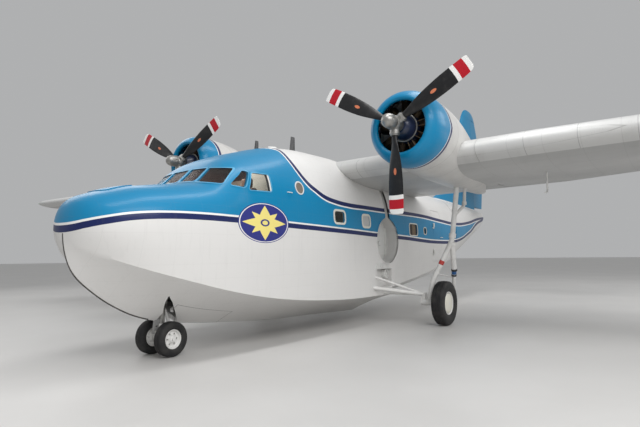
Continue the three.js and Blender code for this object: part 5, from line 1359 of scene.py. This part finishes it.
def both_sides(shape, lead, reach, half, z):
    right = [Vector((lead + f * reach, w * half, z)) for f, w in shape]
    return right + [Vector((p.x, -p.y, z)) for p in reversed(right[1:])]


def fin_half(z):
    return 0.150 - 0.016 * (z - 3.64)


def between(rows, at):
    """Straight line between table rows."""
    index = min(len(rows) - 2, max(0, sum(row[0] <= at for row in rows) - 1))
    low, high = rows[index], rows[index + 1]
    t = (at - low[0]) / (high[0] - low[0])
    return [a + (b - a) * t for a, b in zip(low[1:], high[1:])]


TAB_X, TAB_Z, TAB_HALF = 18.74, 5.35, 0.65


def fin_look(paint):
    slope = (paint.x - 13.3) * (-0.22 / 4.82) + 3.62
    over = paint.z - slope
    cloud = paint.noise(1.2)
    grey = paint.mix(cloud, HULL_WHITE, (0.66, 0.65, 0.63, 1))
    line = paint.mix(over.rise(-0.036, -0.032), grey, NAVY)
    line = paint.mix(over.rise(0.034, 0.038), line, LINE_WHITE)
    blue = paint.mix(over.rise(0.076, 0.080), line, SKY_BLUE)
    reach = (TAB_X - paint.x).most(abs(paint.z - TAB_Z) - TAB_HALF)
    return paint.mix((1 - abs(reach).rise(0.003, 0.006)) * 0.7, blue, (0.01, 0.02, 0.04, 1))


fin_paint = skin_finish("fin_paint", fin_look)
SIDEWAYS = Vector((0, 1, 0))


def rudder_ring(z, gap=None):
    lead, tail = between(FIN_ROWS, min(z, RUDDER_TOP))
    axis, end = Vector((RUDDER_HINGE, 0, z)), Vector((tail, 0, z))
    nose = fin_half(z) * NOSE_SHARE
    return hinged_ring(axis, nose, end, gap, SIDEWAYS)


body = lofted([
    both_sides(FIN_SHAPE, between(FIN_ROWS, z)[0], RUDDER_HINGE - between(FIN_ROWS, z)[0], fin_half(z), z)
    for z in (3.3, 3.47, 3.64, 3.85, 4.08, 4.3, 4.8, 5.3, 6.1, 6.97, 7.2, 7.47)
])
tip = lofted([both_sides(TIP_SHAPE, lead, tail - lead, half, z) for z, lead, tail, half in FIN_TIP_ROWS])
post = box_mesh((17.2, RUDDER_HINGE - 0.11), (-0.06, 0.06), (RUDDER_TOP - 0.06, RUDDER_TOP + 0.06))
fin = joined(joined(cut(body, lofted([rudder_ring(z, 0.008) for z in (3.2, 4.3, 7.478)])), post), tip)
stand_in("fin", cut(fin, outer_hull), fin_paint, "blue_paint")
rudder = lofted([rudder_ring(z) for z in (RUDDER_FOOT, 4.3, 5.3, 6.97, RUDDER_TOP)])
stand_in("rudder", rudder, fin_paint, "blue_paint", body="rudder")


def tailplane_at(y):
    t = abs(y) / TAIL_HALF_SPAN
    return [a + (b - a) * t for a, b in zip(TAILPLANE_ROOT, TAILPLANE_END)]


def tailplane_ring(y, scale=1.0, shrink=1.0):
    lead, tail, half = tailplane_at(y)
    middle = lead + 0.35 * (tail - lead)
    lead, tail = middle + (lead - middle) * shrink, middle + (tail - middle) * shrink
    split = (ELEVATOR_HINGE - lead) / (tail - lead)
    shape = [(f * split, w) for f, w in FIN_SHAPE] + [(split + (1 - split) * 0.5, 0.6), (1, 0.05)]
    return [
        Vector((p.x, y, TAILPLANE_Z + p.y))
        for p in both_sides(shape, lead, tail - lead, half * scale, 0)
    ]


def elevator_ring(y, gap=None):
    lead, tail, half = tailplane_at(y)
    axis, end = Vector((ELEVATOR_HINGE, y, TAILPLANE_Z)), Vector((tail, y, TAILPLANE_Z))
    nose = half * NOSE_SHARE
    return hinged_ring(axis, nose, end, gap, UP)


tail_paint = span_finish("tailplane_paint", wing_look)
for side, name in HANDS:
    inner, outer = side * ELEVATOR_INNER, side * ELEVATOR_OUTER
    tip_start = TAIL_HALF_SPAN - 0.2
    tips = [(tip_start + 0.2 * math.sin(t), math.cos(t)) for t in stations(0, math.radians(84), 8)]
    rings = [tailplane_ring(side * 0.02), tailplane_ring(side * 2.4)]
    rings += [tailplane_ring(side * y, scale, 0.8 + 0.2 * scale) for y, scale in tips]
    cove = lofted([elevator_ring(y, 0.008) for y in (inner - side * END_GAP, outer + side * END_GAP)])
    rudder_room = box_mesh(
        (ELEVATOR_HINGE + 0.06, 19.2), sorted((0, side * (ELEVATOR_INNER - END_GAP))), (4, 5),
    )
    plane = cut(lofted(rings), body, rudder_room, cove)
    stand_in(f"tailplane_{name}", plane, tail_paint, "silver_paint")
    corner = (
        (ELEVATOR_HINGE + 0.16, side * (ELEVATOR_INNER - 0.005)), (19.1, side * ELEVATOR_TAIL_INNER),
        (19.1, side * 0.1), (ELEVATOR_HINGE + 0.16, side * 0.1),
    )
    elevator = cut(lofted([elevator_ring(y) for y in (inner, outer)]), drawn(corner, 4.1, 5.0, "z"))
    stand_in(f"elevator_{name}", elevator, tail_paint, "silver_paint", body=f"elevator_{name}")

# Position lights: a red glass teardrop on the port wing tip, a green one to starboard, and a clear one at
# the tail. Each is moulded and sealed onto the skin.
LIGHTS = (
    # name, x, y, z, colour
    ("port_light", 6.52, -14.60, 3.925, (0.45, 0.01, 0.01, 1)),
    ("starboard_light", 6.52, 14.60, 3.925, (0.01, 0.30, 0.08, 1)),
    ("tail_light", 18.83, 0, 3.16, (0.70, 0.70, 0.66, 1)),
)
TEARDROP = ((-0.06, 0.0), (-0.05, 0.018), (-0.02, 0.030), (0.02, 0.031), (0.06, 0.020), (0.10, 0.0))
for name, x, y, z, colour in LIGHTS:
    lens_glass = Finish(name, Coat_Weight=1.0)
    tone = lens_glass.noise(20)
    glow = lens_glass.mix(tone * 0.3, colour, [c * 0.6 for c in colour[:3]] + [1])
    bulb = turned(TEARDROP, (x, y, z), steps=32)
    show(name, bulb, lens_glass.wear(glow, tone * 0.1 + 0.08, tone, 0.0002), "glass")

# Fuel filler caps: two bright caps on each wing, flush on the top skin.
# They are turned steel, over the necks of the tanks.
CAP_SPOTS = (4.3, 6.4)
caps = []
for side in (-1, 1):
    for y in CAP_SPOTS:
        x, chord, z = wing_at(y)
        f = 0.42
        top = z + (4 * CAMBER * f * (1 - f) + half_thickness(f) - INCIDENCE * f) * chord
        caps.append(
            collar(
                (x + f * chord, side * y, top - 0.012), (x + f * chord, side * y, top + 0.008), 0.5, 0.075,
                0.02,
            ),
        )
show("fuel_caps", gathered(*caps), bright_steel, "silver_paint")

# Wing floats: sheet floats with a step, each on two streamlined struts and an inboard brace.
# The sheet is riveted, and the struts are formed tube.
FLOAT_Y = 10.2
FLOAT_ROWS = (
    # x, keel, chine, half width, deck
    (5.56, 1.90, 1.93, 0.03, 1.99), (5.72, 1.70, 1.82, 0.15, 2.09), (6.2, 1.51, 1.69, 0.29, 2.18),
    (6.9, 1.45, 1.64, 0.34, 2.20), (7.35, 1.44, 1.64, 0.335, 2.19),
)
FLOAT_AFT_ROWS = (
    (7.35, 1.51, 1.69, 0.333, 2.19), (8.1, 1.72, 1.84, 0.20, 2.12), (8.7, 1.91, 1.95, 0.04, 2.01),
)


def float_ring(x, y, keel, chine, half, top):
    middle = (chine + top) / 2
    right = [
        (half * s, keel + (chine - keel) * (s + 0.07 * math.sin(math.pi * s)))
        for s in stations(0, 1, 6)
    ]
    for step in range(1, 15):
        t = math.radians(-25 + 115 * step / 14)
        across = half * (1.02 * max(0, math.cos(t)) ** 0.8)
        right.append(
            (
                across,
                middle + (top - middle) * math.sin(t) if t > 0 else chine + (middle - chine) * step / 3.05,
            ),
        )
    points = [Vector((x, y + across, z)) for across, z in right]
    return points + [Vector((x, 2 * y - p.y, p.z)) for p in reversed(points[1:-1])]


def oval_ring(x, y, z, half_length, half_width, count=32):
    return [
        Vector(
            (
                x + half_length * math.cos(math.tau * i / count),
                y + half_width * math.sin(math.tau * i / count), z,
            ),
        )
        for i in range(count)
    ]


float_paint = span_finish(
    "float_paint", lambda paint: paint.mix(paint.noise(1), (0.50, 0.50, 0.49, 1), HULL_WHITE), rough=0.3,
)
for side, name in HANDS:
    y = side * FLOAT_Y
    fore = lofted([float_ring(x, y, *faired(FLOAT_ROWS, x)) for x in stations(5.56, 7.35, 26)])
    aft = lofted([float_ring(x, y, *faired(FLOAT_AFT_ROWS, x)) for x in stations(7.35, 8.7, 18)])
    room = lofted([wing_ring(side * 9.0), wing_ring(side * 11.5)])
    struts = []
    for foot_x, head_x in ((6.5, 6.7), (7.5, 7.7)):
        strut = [
            oval_ring(foot_x, y, 2.05, 0.095, 0.032), oval_ring(head_x, y - side * 0.06, 3.76, 0.095, 0.032),
        ]
        struts.append(cut(lofted(strut), room))
    brace = cut(rod((7.0, y - side * 0.15, 2.12), (7.2, y - side * 0.9, 3.7), 0.024), room)
    stand_in(f"float_{name}", gathered(fore, aft, *struts, brace), float_paint, "silver_paint")


# Main gear: each long white leg hangs from the nacelle and stands on the wheel's axle. A side brace, a curved
# lever and an oleo steady it, and three tubes tie the axle to the hull side.
gear_white = painted("gear_white", (0.58, 0.575, 0.56, 1), (0.72, 0.71, 0.69, 1))
gland_black = painted("gland_black", (0.010, 0.010, 0.011, 1), (0.03, 0.03, 0.03, 1), rough=0.4)
gland_blue = painted("gland_blue", (0.010, 0.07, 0.22, 1), (0.02, 0.11, 0.30, 1))
patch_red = painted("patch_red", (0.35, 0.02, 0.02, 1), (0.50, 0.05, 0.04, 1))
MAIN_X, MAIN_Y, AXLE_Z = 7.53, 2.69, 0.508
LEG_TUBES = (
    # radius, points as x, outboard, height
    (
        0.060,
        ((7.75, 3.02, 3.42), (7.75, 2.84, 1.97), (7.69, 2.66, 1.58), (7.60, 2.40, 1.02), (7.53, 2.32, 0.56)),
    ),
    (0.062, ((7.76, 2.835, 1.90), (7.96, 2.79, 1.25))),
    (0.042, ((7.95, 2.79, 1.26), (8.11, 2.70, 0.76))),
    (0.036, ((8.11, 2.70, 0.79), (8.12, 2.46, 0.64), (7.56, 2.34, 0.52))),
    (0.038, ((8.06, 3.09, 3.42), (8.06, 3.05, 2.79), (7.77, 2.915, 2.56))),
    (0.016, ((7.64, 2.47, 1.18), (8.03, 2.74, 1.08))),
)
LEG_BANDS = (
    # tube, share of its first run, extra radius, width, finish
    (0, 0.10, 0.012, 0.05, "white"), (0, 0.52, 0.010, 0.04, "white"), (0, 0.93, 0.022, 0.11, "white"),
    (1, 0.04, 0.018, 0.09, "white"), (1, 0.55, 0.006, 0.03, "white"), (1, 0.985, 0.010, 0.05, "black"),
    (2, 0.10, 0.016, 0.10, "blue"), (2, 0.26, 0.020, 0.035, "black"), (2, 0.95, 0.018, 0.08, "white"),
    (4, 0.90, 0.016, 0.08, "white"),
)
TRUSS_HEAD = (7.53, 2.20, 0.69)
TRUSS_FEET = ((0.046, (6.79, 1.15, 0.865)), (0.028, (6.86, 1.15, 1.14)), (0.024, (7.30, 1.10, 0.70)))


def tyre_profile(radius, width, rim, grooves):
    """Half round shoulders, straight sidewalls, and round grooves across a nearly flat tread."""
    half = width / 2
    seat = rim + 0.0004
    wall = radius - seat
    side = smooth_line((
        (-half * 0.70, seat), (-half * 0.80, seat + wall * 0.06), (-half * 0.93, seat + wall * 0.22),
        (-half, seat + wall * 0.46), (-half * 0.97, seat + wall * 0.68), (-half * 0.88, radius - wall * 0.14),
        (-half * 0.72, radius - wall * 0.045),
    ), 3)
    tread = []
    for i, middle in enumerate(grooves):
        gap, deep = width * 0.014, width * 0.035
        for along, drop in ((-gap, 0), (-gap * 0.8, deep), (gap * 0.8, deep), (gap, 0)):
            place = middle * half + along
            tread.append((place, radius - wall * 0.045 * (place / (half * 0.72)) ** 2 - drop))
    left = [tuple(p) for p in side]
    return left + tread + [(-along, r) for along, r in reversed(left)]


def wheel_profile(rim, width, hub, axle):
    """A cast wheel half: rolled flanges, a dished web and a raised hub."""
    half = width * 0.36
    line = smooth_line((
        (-half, hub * 0.98), (-half * 0.90, hub * 1.12), (-half * 0.52, hub * 1.45),
        (-half * 0.40, rim * 0.66),
        (-half * 0.48, rim * 0.80), (-half * 0.74, rim * 0.86), (-half * 0.95, rim * 0.90),
        (-half * 1.06, rim * 0.955),
        (-half * 1.02, rim - 0.001),
    ), 3)
    left = [(-half, axle)] + [tuple(p) for p in line]
    return left + [(-along, r) for along, r in reversed(left)]


rubber = Finish("tyre_rubber", Specular_IOR_Level=0.35)
chalk = rubber.noise(5, 6)
black = rubber.mix(chalk.rise(0.35, 0.75), (0.013, 0.013, 0.014, 1), (0.040, 0.038, 0.036, 1))
tyre_rubber = rubber.wear(black, chalk * 0.2 + 0.55, rubber.noise(120, 3), 0.0006)
for side, name in HANDS:
    def at(x, out, z):
        return (x, side * out, z)

    tubes = [pipe([at(*p) for p in points], radius) for radius, points in LEG_TUBES]
    below = cut(tubes[0], nacelles[name])
    brace = cut(tubes[4], nacelles[name])
    bands = {"white": [], "black": [], "blue": []}
    for tube, share, extra, width, shade in LEG_BANDS:
        radius, points = LEG_TUBES[tube]
        bands[shade].append(collar(at(*points[0]), at(*points[1]), share, radius + extra, width))
    knuckle = collar(at(MAIN_X, 2.26, AXLE_Z), at(MAIN_X, 2.40, AXLE_Z), 0.5, 0.070, 0.14)
    axle = rod(at(MAIN_X, 2.39, AXLE_Z), at(MAIN_X, 2.82, AXLE_Z), 0.0355)
    leg = gathered(below, brace, tubes[1], tubes[2], tubes[3], tubes[5], knuckle, axle, *bands["white"])
    stand_in(f"main_leg_{name}", leg, gear_white, "gear_paint")
    show(f"main_leg_glands_{name}", gathered(*bands["black"]), gland_black, "gear_paint")
    show(f"main_leg_seal_{name}", gathered(*bands["blue"]), gland_blue, "gear_paint")
    patch = collar(at(*LEG_TUBES[0][1][2]), at(*LEG_TUBES[0][1][3]), 0.25, 0.0625, 0.10)
    show(f"main_leg_patch_{name}", patch, patch_red, "gear_paint")
    bars = [cut(rod(at(*foot), at(*TRUSS_HEAD), radius), outer_hull) for radius, foot in TRUSS_FEET]
    boss = collar(at(MAIN_X, 2.13, AXLE_Z), at(MAIN_X, 2.2596, AXLE_Z), 0.5, 0.078, 0.1296)
    block = box_mesh(
        (MAIN_X - 0.06, MAIN_X + 0.06), outboard(side, 2.14, 2.24), (AXLE_Z, AXLE_Z + 0.225),
    )
    stand_in(f"main_truss_{name}", gathered(*bars, boss, block), gear_white, "gear_paint")
    centre = (MAIN_X, side * MAIN_Y, AXLE_Z)
    tyre = turned(
        tyre_profile(0.508, 0.30, 0.265, (-0.5, -0.17, 0.17, 0.5)), centre, "y", steps=128, closed=True,
    )
    stand_in(f"main_tyre_{name}", tyre, tyre_rubber, "tyre_rubber", body=f"main_wheel_{name}")
    wheel = turned(wheel_profile(0.265, 0.30, 0.075, 0.0365), centre, "y", steps=96, closed=True)
    stand_in(f"main_rim_{name}", wheel, gear_white, "gear_paint", body=f"main_wheel_{name}")
    disc = (
        (0.060, 0.0), (0.060, 0.215), (0.100, 0.222), (0.108, 0.212), (0.120, 0.15), (0.128, 0.06),
        (0.130, 0.0),
    )
    cover = turned(
        [(side * along, radius) for along, radius in disc], (MAIN_X, side * MAIN_Y, AXLE_Z), "y", closed=True,
    )
    show(f"main_hubcap_{name}", cover, cream, "gear_paint", body=f"main_wheel_{name}")

# Nose gear: two small wheels on one axle, on a steered fork that turns in a fixed housing inside the well.
# The wheels are cast, the fork is forged and its piston is bright steel.
NOSE_X, NOSE_Y, NOSE_Z = 1.72, 0.25, 0.29
strut_bore = rod((NOSE_X, 0, 0.8), (NOSE_X, 0, 1.3), 0.0528, sides=48)
housing = cut(rod((NOSE_X, 0, 0.86), (NOSE_X, 0, 1.5196), 0.082, sides=48), strut_bore)
drag_brace = pipe(((NOSE_X + 0.04, 0, 1.15), (NOSE_X + 0.70, 0, 1.48)), 0.038)
brace_foot = box_mesh((NOSE_X + 0.64, NOSE_X + 0.76), (-0.09, 0.09), (1.44, 1.5196))
housing_rim = cut(collar((NOSE_X, 0, 0.86), (NOSE_X, 0, 0.96), 0.5, 0.094, 0.09), strut_bore)
stand_in("nose_strut", gathered(housing, drag_brace, brace_foot, housing_rim), gear_white, "gear_paint")
piston = rod((NOSE_X, 0, 0.50), (NOSE_X, 0, 1.25), 0.0515, sides=48)
show("nose_piston", piston, bright_steel, "gear_paint", body="nose_fork")
lever = box_mesh((NOSE_X - 0.15, NOSE_X + 0.21), (-0.03, 0.03), (0.35, 0.42))
fork = gathered(
    collar((NOSE_X, 0, 0.33), (NOSE_X, 0, 0.53), 0.5, 0.072, 0.20),
    rod((NOSE_X, -0.13, NOSE_Z), (NOSE_X, 0.13, NOSE_Z), 0.062, sides=40), lever,
    pipe(((NOSE_X + 0.19, 0, 0.39), (NOSE_X + 0.06, 0, 0.77)), 0.026),
)
stand_in("nose_fork", fork, gear_white, "gear_paint", body="nose_fork")
plate_outline = ((1.545, 0.37), (1.665, 0.35), (1.672, 0.60), (1.625, 0.64), (1.575, 0.60))
plate = cut(
    drawn(plate_outline, -0.022, 0.022, "y", rounding=0.015),
    rod((1.615, -0.1, 0.49), (1.615, 0.1, 0.49), 0.026),
)
gear_grey = painted("gear_grey", (0.20, 0.20, 0.20, 1), (0.30, 0.30, 0.29, 1), rough=0.4)
show("nose_torque_plate", plate, gear_grey, "gear_paint", body="nose_fork")
wheels = []
for side in (-1, 1):
    wheel = turned(
        wheel_profile(0.16, 0.185, 0.052, 0.029), (NOSE_X, side * NOSE_Y, NOSE_Z), "y", steps=72, closed=True,
    )
    for i in range(6):
        t = math.tau * i / 6
        x, z = NOSE_X + 0.092 * math.cos(t), NOSE_Z + 0.092 * math.sin(t)
        wheel = cut(wheel, rod((x, side * 0.1, z), (x, side * 0.4, z), 0.019, sides=20))
    wheels.append(wheel)
nose_axle = rod((NOSE_X, -0.34, NOSE_Z), (NOSE_X, 0.34, NOSE_Z), 0.0295, sides=32)
stand_in("nose_rims", gathered(nose_axle, *wheels), gear_white, "gear_paint", body="nose_wheels")
for side, name in HANDS:
    tyre = turned(
        tyre_profile(0.29, 0.185, 0.16, (-0.30, 0.30)), (NOSE_X, side * NOSE_Y, NOSE_Z), "y", steps=96,
        closed=True,
    )
    stand_in(f"nose_tyre_{name}", tyre, tyre_rubber, "tyre_rubber", body="nose_wheels")

# Crew seats and the instrument panel: boxes of painted sheet with padded brown cloth cushions, and a flat
# sheet panel with two yokes of bent tube.
SEAT_Y = 0.52
CUSHIONS = (
    # x, half width, z, rounding
    ((2.76, 3.26), 0.24, (2.21, 2.33), 0.045), ((3.18, 3.29), 0.23, (2.34, 2.93), 0.045),
    ((3.19, 3.28), 0.13, (2.935, 3.12), 0.035),
)


cloth = Finish("seat_cloth", Sheen_Weight=0.3)
weave = cloth.noise(160, 2)
fade = cloth.noise(4)
seat_cloth = cloth.wear(
    cloth.mix(fade * 0.6 + weave * 0.4, (0.11, 0.055, 0.03, 1), (0.20, 0.105, 0.06, 1)), weave * 0.1 + 0.75,
    weave, 0.0015,
)
interior = painted("interior_paint", (0.14, 0.14, 0.115, 1), (0.20, 0.20, 0.17, 1), rough=0.55, coat=0.0)
for side, name in ((-1, "pilot_seat"), (1, "copilot_seat")):
    y = side * SEAT_Y
    base = cut(
        box_mesh((2.82, 3.15), (y - 0.14, y + 0.14), (COCKPIT_FLOOR, 2.205)),
        box_mesh((2.86, 3.11), (y - 0.2, y + 0.2), (COCKPIT_FLOOR + 0.04, 2.16)),
    )
    show(f"{name}_base", base, interior, "seat_cloth", nodes=[name])
    for i, (x, half, z, rounding) in enumerate(CUSHIONS):
        pad = show(
            f"{name}_pad_{i}", box_mesh(x, (y - half, y + half), z, rounding), seat_cloth, "seat_cloth",
        )

cabin_space = hull_body(WALL + SEAT)
panel = kept(cabin_space, box_mesh((2.23, 2.29), SIDES, (2.33, 2.76)))
yokes = []
for side in (-1, 1):
    y = side * SEAT_Y
    wheel = turned(torus(0, 0.155, 0.0125), (2.532, y, 2.52), closed=True, steps=48)
    yokes += [
        wheel, rod((2.285, y, 2.52), (2.54, y, 2.52), 0.018),
        box_mesh((2.524, 2.54), (y - 0.15, y + 0.15), (2.507, 2.533)),
    ]
stand_in("instrument_panel", gathered(panel, *yokes), interior, "interior_paint")
bulkhead = cut(
    kept(cabin_space, box_mesh((4.11, 4.1496), SIDES, (COCKPIT_FLOOR + SEAT, 4.5))),
    drawn(rectangle((-0.33, 0.33), (1.7, 3.5)), 4.0, 4.3, "x", rounding=0.08),
)
tan = Finish("bulkhead_panel")
tan_cloud = tan.noise(3)
tan_low = tan.mix(tan_cloud, (0.58, 0.45, 0.33, 1), (0.68, 0.54, 0.41, 1))
tan_high = tan.mix(tan_cloud, (0.060, 0.018, 0.013, 1), (0.095, 0.030, 0.022, 1))
tan_paint = tan.wear(
    tan.mix(tan.z.rise(3.275, 3.285), tan_low, tan_high), tan_cloud * 0.1 + 0.6, tan.noise(80), 0.0005,
)
stand_in("cockpit_bulkhead", bulkhead, tan_paint, "interior_paint")

# Aerials and pitot mast: swept blades on the cockpit roof, and a bent tube under the port wing.
# The blades are moulded and bolted on.
BLADE_AERIALS = (("aerial_fore", 4.04, 4.085, 0.09, 3.6), ("aerial_aft", 5.25, 4.40, 0.13, 3.7))
aerial_black = painted("aerial_black", (0.010, 0.010, 0.012, 1), (0.028, 0.028, 0.03, 1), rough=0.35)
for name, x, top, half, foot in BLADE_AERIALS:
    rings = [
        oval_ring(
            x + half * 0.4 * t, 0, foot + (top - foot) * t, half * (1 - 0.45 * t), 0.014 * (1 - 0.3 * t),
        )
        for t in (0, 0.5, 0.9, 0.97)
    ] + [oval_ring(x + half * 0.4, 0, top, half * 0.50, 0.004)]
    stand_in(name, cut(lofted(rings), outer_hull), aerial_black, "aerial_black")
mast = cut(pipe(((7.66, -5.0, 3.5), (7.64, -5.0, 2.93), (7.42, -5.0, 2.89)), 0.018, bend=0.05), center)
stand_in("pitot_mast", mast, gear_white, "gear_paint")
